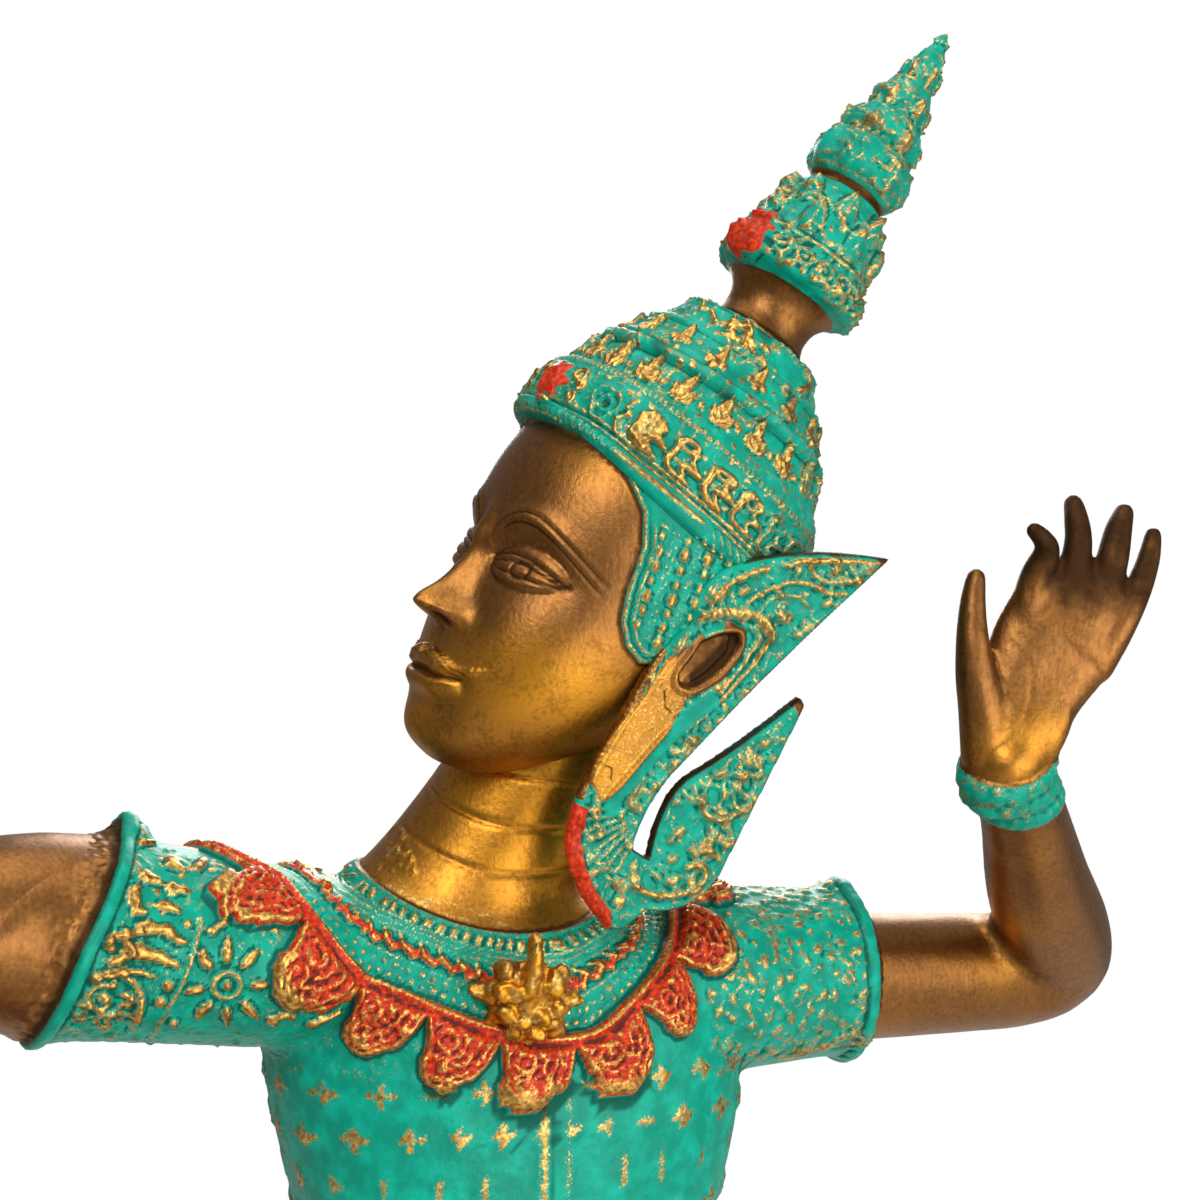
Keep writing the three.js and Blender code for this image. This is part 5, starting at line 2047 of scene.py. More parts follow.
    def collar(self, skin: Skin) -> Array:
        """The collar; returns where it leaves the jacket bare.

        Args:
            skin: the trunk's skin.

        Returns:
            1 beside the collar, 0 under it.
        """
        along, out = self.beside_edge(skin.points, skin.normals)
        below = self.neckline(skin.points)
        high = ease(below, -0.6, 0.4) * (out < self.nowhere)
        turned = (along - self.leaf_first) / self.leaf_width
        on_shoulder = (turned > 5.2) & (turned < 7)
        number = np.where(on_shoulder, 6, np.floor(turned))
        share = turned - number
        reach = np.select([number == 4, number == 5], [0.6, 0.03], 1.0)
        n = (out - self.leaf_band) / (self.leaf_width * reach)
        leaf, longer = (
            inside_distance(share, n, outline) for outline in (self.leaf, self.shoulder_leaf)
        )
        inside = np.where(on_shoulder, longer, leaf) * self.leaf_width
        inside = np.where(out < self.leaf_band, np.minimum(out + 0.2, 3), inside)
        cover = ease(inside, -0.35, 0.35) * high
        skin.raise_by(2.3 * cover)
        skin.clear(cover, TEAL, GOLD, DARK)
        skin.paint(RED, cover)
        outer = ease(out, self.leaf_band - 0.5, self.leaf_band + 1)
        rim = bell(inside - 0.8, 0.6) * outer * cover
        curl = np.hypot((share - 0.33) * 18, (n - 0.2) * 18)
        ring, _ = cell(np.where(curl < 4.4, curl, inside - 0.2), 2.15)
        ridge = bell(ring, 0.42) * ease(inside, 1.2, 2.0) * outer * cover
        wild = skin.waves(6.5, 33)
        skin.raise_by(
            0.8 * rim + 0.85 * ridge + (0.3 * wild + 0.9 * ease(inside, 0, 4)) * outer * cover
        )
        lower = ease(n, 0.3, 0.7)
        skin.paint(GOLD, (0.62 + 0.3 * lower) * rim * ease(wild + 1.4 * lower, -0.8, 0.2))
        skin.paint(GOLD, 0.7 * ridge * ease(wild + 0.9 * lower, 0.1, 1.0))
        tipped = ease(np.cos((number - 7) * 2.2), 0.5, 0.9) * ease(n, 0.5, 0.72) * cover
        skin.paint(GOLD, 0.8 * tipped)
        grains = ease(skin.waves(2.2, 34), 0.2, 1.1) * outer * cover
        skin.emboss(grains, 0.3, GOLD, 0.66 * (0.45 + 0.55 * (np.sin(number * 1.9) > 0)))
        skin.emboss(bell(out - 0.9, 0.75) * high, 0.9)
        skin.paint(DARK, 0.8 * bell(inside + 0.5, 0.45) * high * (out > 0))
        worms = bell(skin.waves(4.6, 35), 0.3) * outer * cover * ease(inside, 0.8, 1.8)
        skin.emboss(worms, 0.6, GOLD, 0.6 * ease(wild + lower, -0.1, 1.0))
        self.inner_field(skin, along, out, below, high)
        return ease(np.where(out < self.leaf_band, 5, inside), -0.4, -1.3)

    def inner_field(self, skin: Skin, along: Array, out: Array, below: Array, high: Array) -> None:
        """Between neckline and band: hoops, lines, gold flames over a red zigzag and beads.

        Args:
            skin: the trunk's skin.
            along: places along the collar's edge line.
            out: distances outside that line.
            below: distances below the neckline.
            high: 1 in the collar's reach, 0 elsewhere.
        """
        share = below / np.maximum(below - out, 1e-3)
        field_ = high * ease(out, -0.4, -1.1)
        skin.clear(field_, GOLD)
        wild = skin.waves(5, 42)
        tall = (share - 0.1) * 24
        skin.emboss(bell(share * 24, 0.8) * field_, 0.5, GOLD, 0.6)
        hoop, _ = cell(along, 3.3)
        hoops = ease(np.abs(hoop), 1.15, 0.75) * ease(np.abs(tall - 0.5), 1.5, 1.1)
        skin.emboss(hoops * field_, 0.8, GOLD, 0.62)
        for line, depth in ((0.2, 0.5), (0.26, 0.4), (0.33, 0.3), (0.64, 0.3)):
            skin.emboss(bell((share - line + 0.01 * wild) * 24, 0.4) * field_, depth, GOLD, 0.6)
        across, _ = cell(along + 0.5 * wild, 4.9)
        tall = (0.5 - share) * 24 + 0.35 * wild
        slope = np.abs(across) * 0.85
        zigzag = ease(np.abs(tall + slope - 0.9), 1.6, 1.1) * field_
        tongue = flame(across + 0.35 * tall, tall, (0.2, -0.4), (-0.9, 3.4), 1.0) * field_
        skin.raise_by(1.3 * zigzag + 1.1 * tongue)
        skin.paint(RED, zigzag)
        skin.paint(GOLD, 0.86 * ease(tongue, 0.2, 0.6) + 0.6 * zigzag * ease(wild, 0.3, 0.9))
        for row, pitch, size in ((-2.3, 2.7, 0.8), (-5.0, 3.1, 0.75)):
            near, number = cell(along, pitch)
            skin.emboss(
                dome(np.hypot(near, out - row), size) * field_, 0.8, GOLD,
                0.34 + 0.2 * np.sin(2.4 * number)
            )
        skin.weather(field_ * ease(np.abs(share - 0.5), 0.06, 0.12), 0.16, 0.34)

    def near_sleeve(self, skin: Skin, free: Array) -> None:
        """The right sleeve: a sun with drop-shaped rays, a beaded seam, flames and scrolls.

        Args:
            skin: the trunk's skin.
            free: 1 beside the collar, 0 under it.
        """
        s, _, t = self.sheet.into(skin.points).T
        behind = self.near.from_rim(skin.points)
        bare = free * ease(behind, self.near.rim, self.near.rim + 0.8) * (skin.points[:, 0] < -20)
        bare = bare * ease(skin.points[:, 2], 401, 406)
        free = bare * ease(skin.normals @ unit(TOWARDS_CAMERA), 0.0, 0.25)
        wild = 1.0 + 0.3 * skin.waves(2.6, 81)
        reach = np.hypot(s, t)
        sun = np.maximum(bell(reach - 2.8, 0.5), dome(reach, 1.2))
        skin.emboss(sun * free, 1.1, GOLD, 0.82)
        for lean, far in self.sun_rays:
            way = np.array([math.cos(math.radians(lean)), math.sin(math.radians(lean))])
            skin.emboss(flame(s, t, 4.7 * way, far * way, 1.25) * free, 1.5, GOLD, 0.95)
        seam = smooth_line(
            [(-5.4, 14), (-6.7, 7.5), (-8.5, 2.1), (-10.9, -2.1), (-14.6, -8), (-18, -13)], 5
        )
        notch, _ = cell(t, 1.7)
        mark = bell(line_distance(s, t, seam), 0.5) * (0.6 + 0.4 * dome(notch, 0.9)) * free
        skin.emboss(mark, 0.8, GOLD, 0.72)
        for x, z, size in self.sleeve_drops:
            skin.emboss(dome(np.hypot(s - x, t - z), size) * free, 1.4, GOLD, 1.0)
        for path, width in self.sleeve_flames:
            skin.emboss(stroke(s, t, path, width * wild) * free, 1.4, GOLD, 1.0)
        arch = [
            (-24.6 + 7.4 * math.cos(a), -1.4 + 6.6 * math.sin(a))
            for a in np.linspace(-0.9, 3.4, 20)
        ]
        for path in (arch, *(spiral(*scroll) for scroll in self.sleeve_scrolls)):
            skin.emboss(bell(line_distance(s, t, path), 0.65 * wild) * free, 1.2, GOLD, 0.78)
        cluster = ease(np.hypot((s + 25.5) / 9.5, (t + 4.5) / 7.5), 1.0, 0.75) * free
        skin.emboss(ease(skin.waves(3.6, 83), 0.0, 0.8) * cluster, 0.9, GOLD, 0.56)
        specks = ease(skin.waves(2.6, 84), 0.75, 1.3) * ease(skin.waves(17, 85), -0.4, 0.5) * free
        skin.emboss(specks, 0.5, GOLD, 0.62)
        skin.weather(free * (0.5 + 0.5 * ease(t + 0.35 * s, 8, 18)), 0.44, 0.84)
        self.scatter(skin, self.near, bare * ease(skin.normals @ unit((0.2, 0.9, 0)), 0.2, 0.5))

    def far_sleeve(self, skin: Skin, free: Array) -> None:
        """The left sleeve: gold seeds in rows that lean to and fro.

        Args:
            skin: the trunk's skin.
            free: 1 beside the collar, 0 under it.
        """
        free = free * ease(self.far.from_rim(skin.points), self.far.rim, self.far.rim + 0.8)
        self.scatter(
            skin, self.far, free * (skin.points[:, 0] > 52) * ease(skin.points[:, 2], 396, 400)
        )

    def scatter(self, skin: Skin, sleeve: Sleeve, where: Array) -> None:
        """Gold seeds all over part of a sleeve.

        Args:
            skin: the trunk's skin.
            sleeve: the sleeve.
            where: their share at each point.
        """
        along, arc = sleeve.around(skin.points)
        a, column = cell(along + 0.6 * np.sin(arc / 5), 4.7)
        b, row = cell(arc + 2.7 * (column % 2) + 1.3 * np.sin(5.3 * column), 5.4)
        lean = 1.5 * np.sin(2.7 * column + 4.1 * row)
        a, b = a + np.sin(3.1 * row + column), b + 0.8 * np.sin(7.7 * column + 2 * row)
        s, t = a * np.cos(lean) + b * np.sin(lean), b * np.cos(lean) - a * np.sin(lean)
        size = 1.0 + 0.3 * np.sin(9.1 * row + 5.7 * column)
        seeds = dome(np.hypot(s / 1.25, t / 1.9), size) * where
        skin.emboss(seeds, 0.8, GOLD, 0.62)
        skin.weather(where * (1 - seeds), 0.34, 0.62)

    def cuffs(self, skin: Skin) -> None:
        """The smooth rims of the sleeves, and bare metal beyond them.

        Args:
            skin: the trunk's skin.
        """
        x = skin.points[:, 0]
        for sleeve, here in ((self.near, x < -60), (self.far, x > 86)):
            behind = sleeve.from_rim(skin.points)
            rim = ease(behind, sleeve.rim + 0.3, sleeve.rim - 0.5) * ease(behind, -0.4, 0.5) * here
            skin.raise_by(0.9 * rim * dome(behind - sleeve.rim / 2, sleeve.rim / 2 + 0.7))
            groove = bell(behind - sleeve.rim - 0.5, 0.5) * here
            skin.raise_by(-0.5 * groove)
            skin.paint(DARK, 0.6 * groove)
            skin.plain = np.maximum(
                skin.plain, ease(behind, sleeve.rim + 1.6, sleeve.rim + 0.8) * here
            )
            bare = ease(behind, 0.3, -0.5) * here
            skin.clear(bare, TEAL, GOLD)
            skin.raise_by(-0.9 * bare + 0.35 * skin.waves(3, 97) * bell(behind + 3, 4) * bare)
            # painted shadow of the cuff: darker at the rim and over the bare arm just beyond it
            skin.paint(DARK, (0.5 * bell(behind + 0.8, 1.2) + 0.3 * bell(behind + 3, 6)) * here)

    def throat(self, skin: Skin) -> None:
        """Three soft lines round the neck, golden light painted on it, and gold brushed above the
        neckline.

        Args:
            skin: the trunk's skin.
        """
        x, y, z = skin.points.T
        rise = -self.neckline(skin.points)
        above = rise > 1
        for height, depth in ((459, 0.7), (471.5, 0.8), (447.5, 0.45)):
            level = z - height + 0.2 * (x - 12) - 0.32 * (y + 26) - 1.2 * np.sin((x - 5) / 9)
            mark = bell(level, 0.8) * above * ease(y, 6, -6)
            skin.raise_by(-depth * mark)
            skin.paint(DARK, 0.5 * mark * ease(skin.waves(21, 8), -1.2, 0.4))
        # painted golden light on the neck, brighter towards its +x side, with random variation
        skin.paint(WARM, above * (0.6 + 0.5 * ease(skin.waves(40, 15) + (x - 6) / 18, -0.6, 0.9)))
        brushed = ease(ripples(skin.points * (1, 1, 3.6), 8, 16), -0.5, 0.6)
        brushed = 0.72 * brushed * ease(rise, 0.3, 1.5) * ease(rise, 6.5, 2.5)
        skin.paint(GOLD, brushed * ease(x, 8, -2) * ease(y, 0, -12))

    def pendant(self, material: Material) -> Object:
        """The pendant: a lumpy gold star with a long tapered loop down its middle.

        Args:
            material: its finish.

        Returns:
            The new object.
        """
        parts = [bead(centre, radii, self.boss, turn) for centre, radii, turn in (
            ((0, 0.6, 0), (9, 5.2, 9), 0), ((0, 1.4, -9), (6.4, 4, 5.6), 0),
            ((-0.3, -3.4, 5), (2.5, 2.9, 10.4), 0), ((-0.8, -1, 13.4), (1.9, 1.9, 3.6), 0),
            ((-4.8, -4, 2.6), (3.8, 2.2, 2.5), 10), ((5.2, -3.4, 4.6), (2.8, 2.2, 2.6), -20),
            ((6.8, -2.8, -0.6), (2.5, 2, 2.5), 0), ((3.4, -4.6, -3), (2.4, 1.9, 2.2), 0),
            ((-1.2, -4.9, -4.4), (2.1, 1.7, 1.8), 0), ((-5, -4, -3.2), (2.6, 2, 2), 0),
            ((2.6, -4.2, -7.4), (2.3, 1.8, 1.9), 0), ((-2.8, -4.2, -7.8), (2.2, 1.8, 2), 0),
            ((-6, -1.6, 6.4), (3, 2.6, 2.8), 0), ((6, -1.4, 7), (2.6, 2.4, 2.4), 0),
        )]
        points = ((180, 13.2), (5, 12.4), (140, 10.8), (42, 10.8), (222, 12), (318, 12))
        for degrees, reach in points:
            lean = math.radians(degrees)
            for far, size in ((0.62, 3.3), (0.84, 2.3), (1.0, 1.4)):
                out = reach * far
                at = (out * math.cos(lean), 0.4 - 1.0 * (1 - far), out * math.sin(lean) - 0.4)
                parts.append(bead(at, (size, size * 0.85, size * 0.9), self.boss))
        obj = melt("pendant", parts, 0.62, 1)
        skin = Skin(obj)
        s, depth, t = self.boss.into(skin.points).T
        skin.paint(WARM, np.ones_like(s))
        skin.paint(GOLD, 0.4 + 0.35 * skin.waves(5, 14))
        rough = (0.5 + 0.5 * ease(np.abs(s + 0.3), 2, 3.2)) * skin.waves(4.2, 12)
        skin.raise_by(0.5 * rough + 0.2 * skin.waves(2, 13))
        eye = np.hypot((s + 4.8) / 1.5, t - 2.6)
        skin.raise_by((0.6 * bell(eye - 1.9, 0.5) - 0.5 * bell(eye, 0.9)) * (depth < -2))
        # painted shade where the rough relief dips
        skin.paint(DARK, 0.4 * ease(rough, -0.4, -1.3))
        return skin.finish(material)


# Arms, hands, legs and dress


@dataclass
class Hand:
    """A dancer's hand with its bracelet, in its own frame: z along the palm, -y out of it.

    side is 1 for the left hand, whose thumb lies towards -x, and -1 for the right.
    """

    frame: Frame
    side: int
    voxel: float
    wrist: Points
    bracelet: Point
    axis: Point
    palm: Points = (
        (0.3, 1, -5, 9.6, 9.0), (-0.3, 0.8, 1, 10.8, 8.8), (-1.4, 0.4, 8, 11.8, 8.2),
        (-2.5, 0.4, 18, 13.2, 7.0), (-2.5, 0.8, 29, 15.4, 5.8), (-1.2, 1, 41, 15.6, 4.8),
        (-1, 1.6, 49, 13, 3.6),
    )
    fingers: Sequence[Points] = (
        ((-5, -1, -1, 7, 6.4), (-10.6, -3, 8, 6.8, 6.2), (-17.4, -4.4, 16, 5.2),
         (-22.8, -4.4, 25, 4.0), (-26, -3.2, 32.5, 3.2), (-27.6, -2.6, 37.6, 2.6)),
        ((-11, 0.6, 34, 5, 4.4), (-13.8, -0.4, 44, 4.2), (-14.6, -3.2, 51, 3.4),
         (-17.2, -6, 53.2, 2.7), (-20.4, -7, 54.2, 2.2)),
        ((-5, 1, 36, 5, 4.2), (-5.2, 1, 47, 4.4), (-7.6, 2, 57, 3.6), (-10, 5.4, 62.6, 3.2),
         (-11.8, 9.4, 66.4, 2.6)),
        ((3, 1, 34, 5, 4.4), (3.6, 1.4, 45, 4.6), (2.2, 3, 56.5, 4.2), (1, 6.4, 64.5, 3.6),
         (0.8, 9.6, 70, 2.7)),
        ((9.6, 1, 31, 4.6, 4.2), (10.6, 1.4, 41.5, 4.2), (11.2, 3, 52, 3.6), (10.9, 6, 61.4, 3.0),
         (9.8, 8.6, 68, 2.3)),
    )
    creases: Sequence[tuple[Points, float]] = (
        # the palm's lines: path and depth
        (((-12.5, 27), (-6, 23), (-2.5, 15), (-2.2, 6)), 0.6),
        (((-12, 29.5), (-3, 26.5), (6, 22), (9, 18)), 0.5),
        (((-4, 35), (4, 31.5), (13, 29.5)), 0.5), (((-14.5, 40.5), (-8, 39.5)), 0.4),
        (((-6.5, 40), (0.5, 40)), 0.4), (((1, 40.5), (8, 39.5)), 0.4),
        (((9.5, 37.5), (15, 36)), 0.4),
    )

    def build(self, name: str) -> Skin:
        """The hand as a skin with its relief, not yet finished.

        Args:
            name: the object's name.

        Returns:
            The skin.
        """
        parts = [self.turned("palm", self.palm, 36, 5)]
        parts += [self.turned("finger", stations, 20, 5) for stations in self.fingers]
        for centre, radii, turn in (
            ((-7.8, -2.8, 10), (6, 4.4, 11), -28), ((5, -2, 13), (5.4, 3.8, 13), 6),
            ((-1.6, -1.2, 34), (14, 3.6, 6), 0),
        ):
            x, y, z = centre
            parts.append(bead((x * self.side, y, z), radii, self.frame, turn * self.side))
        parts.append(tube("wrist", self.wrist, sides=40, steps=5))
        obj = melt(name, parts, self.voxel, 7)
        skin = Skin(obj)
        x, y, z = self.frame.into(skin.points).T
        x = x * self.side
        faces = ease(skin.normals @ -self.frame.axes[1], 0.0, 0.6)
        hollow = np.hypot((x + 0.5 - 0.1 * (z - 20)) / 8.5, (z - 20.5) / 11)
        skin.raise_by(-1.7 * bell(hollow, 1.0) * faces)
        for path, depth in self.creases:
            mark = bell(line_distance(x, z, smooth_line(path, 4)), 0.9) * faces * ease(y, 9, 3)
            skin.emboss(mark, -0.28 * depth, DARK, 0.2)
        # a warm highlight painted on the heel of the palm
        skin.paint(WARM, 0.6 * bell(np.hypot(x - 3, z - 6) / 13, 1.0))
        shade = 0.66 * ease(z, 34, 56) + 0.4 * ease(x, -15, -22)
        skin.paint(DARK, shade + 0.35 * bell(np.hypot(x + 6, z - 42), 12))
        self.wear(skin)
        return skin

    def turned(self, name: str, stations: Points, sides: int, steps: int) -> Object:
        """A tube given in the hand's frame.

        Args:
            name: the object's name.
            stations: its places and sizes.
            sides: points round it.
            steps: rings between two stations.

        Returns:
            The new object.
        """
        placed = [
            [*self.frame.out(np.array([x * self.side, y, z])), *size] for x, y, z, *size in stations
        ]
        return tube(name, placed, reference=-self.frame.axes[1], sides=sides, steps=steps)

    def wear(self, skin: Skin) -> None:
        """The bracelet: three rows of green beads between worn gold cords.

        Args:
            skin: the hand's skin.
        """
        axis, away = unit(self.axis), skin.points - self.bracelet
        side = unit(np.cross(axis, (0, 0, 1)))
        turn = np.arctan2(away @ side, away @ np.cross(side, axis))
        along = away @ axis
        near = (np.linalg.norm(away, axis=1) < 30) & (np.abs(along) < 10)
        on = ease(np.abs(along), 8.8, 8.2) * near
        row, number = cell(along, 5.6)
        aside, _ = cell(turn * 12.5 + 1.6 * number, 3.4)
        beads = dome(np.hypot(aside * 0.9, row * 0.8), 1.9) * on
        skin.raise_by(0.9 * on + 0.8 * beads + 0.25 * skin.waves(3, 91) * on)
        skin.clear(on, DARK, WARM)
        skin.paint(TEAL, on * (0.62 + 0.38 * beads))
        skin.paint(GOLD, 0.5 * on * (1 - beads) * ease(skin.waves(5, 92), -0.4, 0.8))
        skin.paint(DARK, 0.35 * on * (1 - beads))


@dataclass
class Body:
    """The arms, legs, feet, breeches, belt, sash and flaps, cast in one with the trunk."""

    voxel: float = 2.05
    right_arm: Points = (
        (-66, 0, 436, 20, 20), (-110, -18, 444, 20, 19.6), (-140, -27, 442, 17.6, 17.2),
        (-172, -38, 440, 14.6, 14.6), (-196, -46, 441, 15.6, 15), (-220, -54, 444.5, 13.8, 13.2),
        (-240, -60, 449, 11, 10.6), (-256, -66, 452, 10.4, 9.4),
    )
    left_arm: Points = (
        (84, 3, 416, 18, 18), (118, 8, 413.5, 17.2, 17), (148, 11.4, 412, 16.6, 16.4),
        (166, 13, 411.6, 16.2, 16), (176, 10, 415, 15.8, 15.4), (168, -2, 426, 15.6, 15),
        (153, -18, 441, 14, 13.6), (139, -34, 458, 11.6, 11.4), (131, -42.5, 467.5, 10.6, 10.2),
    )
    right_leg: Points = ((-20, 0, 230), (-160, -88, 206), (-158, -90, 48))
    left_leg: Points = ((34, 4, 226), (48, -40, 50), (184, 42, 64))
    flat_foot: Points = (
        (-146, -84, 38, 12.5, 11), (-166, -97, 38, 13, 12), (-192, -112, 33, 15, 8.4),
        (-208, -121, 30.8, 13.5, 6),
    )
    raised_foot: Points = (
        (192, 48, 80, 11.5, 9), (196, 51, 48, 13.6, 10), (186, 44, 33.5, 14, 8.4),
        (173, 36, 30.4, 12.5, 5.8),
    )
    belt: Point = (8, 3, 262)
    belt_oval: float = 1.32
    left_hand: Hand = field(default_factory=lambda: Hand(
        LEFT_PALM, 1, 0.86,
        ((124, -49, 475.5, 10, 9.6), (129.6, -43.4, 468.6, 9.9, 9.7), (139, -34, 458, 11.4, 11.2)),
        (129, -43, 471.4), (-0.291, -0.518, 0.803)))
    right_hand: Hand = field(default_factory=lambda: Hand(
        RIGHT_PALM, -1, 1.15,
        ((-256, -66, 452, 10.4, 9.6), (-246, -63, 450, 10.6, 10), (-236, -59.5, 448.4, 11.2, 10.8)),
        (-246, -63, 450), (-0.95, -0.3, 0.1)))

    def build(self, material: Material) -> Object:
        """The finished body.

        Args:
            material: its finish.

        Returns:
            The new object.
        """
        parts = [
            tube("arm", self.right_arm, sides=40, steps=5),
            tube("arm", self.left_arm, reference=(0, 0, 1), sides=40, steps=5),
            *self.leg(self.right_leg, (0.5, -0.86, 0)),
            *self.leg(self.left_leg, (-0.5, 0.86, 0)),
            tube("foot", self.flat_foot, reference=(0, 0, 1), sides=36, steps=5, square=2.5),
            tube("foot", self.raised_foot, reference=(-0.8, -0.56, 0.2), sides=36, steps=5,
                 square=2.5),
            *self.toes(),
            *self.dress(),
        ]
        skin = Skin(melt("figure_body", parts, self.voxel, 4))
        skin.points[:, 2] = np.maximum(skin.points[:, 2], SOLE_HEIGHT)
        self.breeches(skin)
        self.girdle(skin)
        self.hangings(skin)
        self.anklets(skin)
        skin.paint(WARM, 0.3 * ease(skin.waves(90, 31), -0.3, 1.2))
        body = skin.finish(material)
        left, right = (
            hand.build("hand").finish(material) for hand in (self.left_hand, self.right_hand)
        )
        return join_finished("figure_limbs", [body, left, right], material)

    def leg(self, joints: Points, reference: Point) -> list[Object]:
        """Full folded breeches to below the knee, and the bare shin.

        Args:
            joints: hip, knee and ankle.
            reference: the direction that its depth is measured along.

        Returns:
            The two objects.
        """
        hip, knee, ankle = (np.asarray(j, float) for j in joints)

        def run(a: Array, b: Array, sizes: Points) -> list[Point]:
            """Stations of these sizes at shares of the way from a to b."""
            return [[*(a + (b - a) * f), *size] for f, *size in sizes]

        cloth = [
            *run(hip, knee, [(0.05, 40, 38), (0.4, 39, 38), (0.75, 33, 32), (0.96, 26.6, 26.6)]),
            *run(knee, ankle, [(0.14, 25.6, 25), (0.32, 23, 22.5), (0.43, 27, 26.4)]),
        ]
        shin = run(knee, ankle, [(0.3, 19, 19), (0.55, 15.6, 16), (0.8, 12, 12.4), (1, 11.6, 12)])
        return [
            tube("breeches", cloth, reference, 60, 8, fold=0.055, folds=5, square=2.1),
            tube("shin", shin, reference, 36, 5),
        ]

    def toes(self) -> list[Object]:
        """Five toes on each foot.

        Returns:
            The new objects.
        """
        made = []
        for k in range(5):
            across, size, bend = (k - 2) * 5.2, 3.4 if k else 4.6, abs(k - 1) * 1.7
            for root, side, ahead, length in (
                ((-207, -120.5, 29.5), (-0.5, 0.86, 0), (-0.86, -0.5, 0), 6.5),
                ((171, 34.5, 29.4), (0.5, -0.72, 0), (-0.84, -0.54, -0.04), 5.5),
            ):
                start = np.array(root) + np.multiply(side, across)
                end = start + np.multiply(ahead, length - bend)
                stations = [[*start, size, size * 0.9], [*end, size * 0.9, size * 0.8]]
                made.append(tube("toe", stations, (0, 0, 1), 16, 4))
        return made

    def dress(self) -> list[Object]:
        """Belt, buckle, sash, tail and the flaps on the hips.

        Returns:
            The new objects.
        """
        flap = ((0, 2), (14, -12), (30, -10), (44, 8), (50, 38), (38, 26), (28, 24), (22, 16),
                (10, 16))
        sash = ((-14, 0), (-16, -50), (-11, -84), (0, -108), (11, -84), (16, -50), (14, 0))
        tail = ((-12, 0), (-17, -40), (-12, -80), (0, -100), (12, -80), (17, -40), (12, 0))
        x, y, z = self.belt
        girth = ((-7.5, 33.4), (-5.6, 34.8), (0, 33.4), (5.6, 34.8), (7.5, 33.4))
        return [
            lofted(
                "belt", [[x, y, z + h, r * self.belt_oval, 0, 0, 0, r, 0] for h, r in girth], 72, 5
            ),
            panel("sash", sash, 5.4, (24, -34, 256), 4, -7),
            panel("tail", tail, 5.4, (18, 42, 254), 0, -9),
            panel("flap", flap, 6.4, (44, 8, 250), -8, 0),
            panel("flap", tuple((-a, b) for a, b in flap), 6.4, (-28, 8, 252), 8, 0),
            bead((8, -35, 262), (12, 5.5, 10.5)),
        ]

    def girdle(self, skin: Skin) -> None:
        """Gold lozenges on the belt between two cords, and the flower of the buckle.

        Args:
            skin: the body's skin.
        """
        s, depth, t = (skin.points - self.belt).T
        away = np.hypot(s / self.belt_oval, depth)
        on = ease(np.abs(t), 8.2, 7.4) * ease(away, 31.5, 32.6) * ease(away, 41.5, 40)
        skin.paint(GOLD, on)
        aside, _ = cell(np.arctan2(s, -depth) * 38, 9)
        stone = ease(np.abs(aside) / 3.4 + np.abs(t) / 3.8, 1.05, 0.75) * on
        skin.clear(stone, GOLD)
        skin.emboss(stone, 0.8, RED, 1.0)
        skin.emboss(bell(np.abs(t) - 5.8, 0.9) * on, 0.6)
        front = ease(depth, -36, -39.5) * ease(np.hypot(s / 1.15, t), 11.5, 10.5)
        skin.paint(GOLD, front)
        skin.emboss(flower(s / 1.1, t, 9.6, 8) * front, 1.2)
        skin.paint(RED, 1.2 * dome(np.hypot(s, t), 3.4) * front)

    def breeches(self, skin: Skin) -> None:
        """Cross folds on the cloth, and a gold and green hem at each calf.

        Args:
            skin: the body's skin.
        """
        for joints in (self.right_leg, self.left_leg):
            hip, knee, ankle = (np.asarray(j, float) for j in joints)
            for a, b, low, high in ((hip, knee, 0.12, 1.02), (knee, ankle, 0.0, 0.46)):
                along = unit(b - a)
                reach = np.linalg.norm(b - a)
                away = skin.points - a
                share = away @ along / reach
                off = away - np.outer(away @ along, along)
                near = ease(np.linalg.norm(off, axis=1), 50, 44)
                near = near * ease(share, low, low + 0.1) * ease(share, high, high - 0.03)
                side = unit(np.cross(along, (0.1, 0.2, 1) if abs(along[2]) < 0.7 else (1, 0.2, 0)))
                turn = np.arctan2(off @ np.cross(along, side), off @ side)
                wave = np.sin(5 * turn + 2.4 * np.sin(share * 7) + share * 9)
                wave = wave + 0.5 * np.sin(9 * turn - share * 15 + 1)
                skin.raise_by(0.75 * wave * near)
                # painted shade in the troughs of the folds
                skin.paint(DARK, 0.22 * near * ease(wave, -0.4, -1.3))
                if a is knee:
                    hem = (share - 0.415) * reach
                    band = ease(np.abs(hem), 7, 6) * near
                    skin.paint(TEAL, band)
                    skin.emboss(bell(np.abs(hem) - 6.2, 0.9) * near, 0.8, GOLD, 0.9)
                    aside, _ = cell(turn * 24, 7.5)
                    skin.emboss(ease(np.abs(aside) + np.abs(hem), 3.4, 2.4) * near, 0.9, GOLD, 1.0)

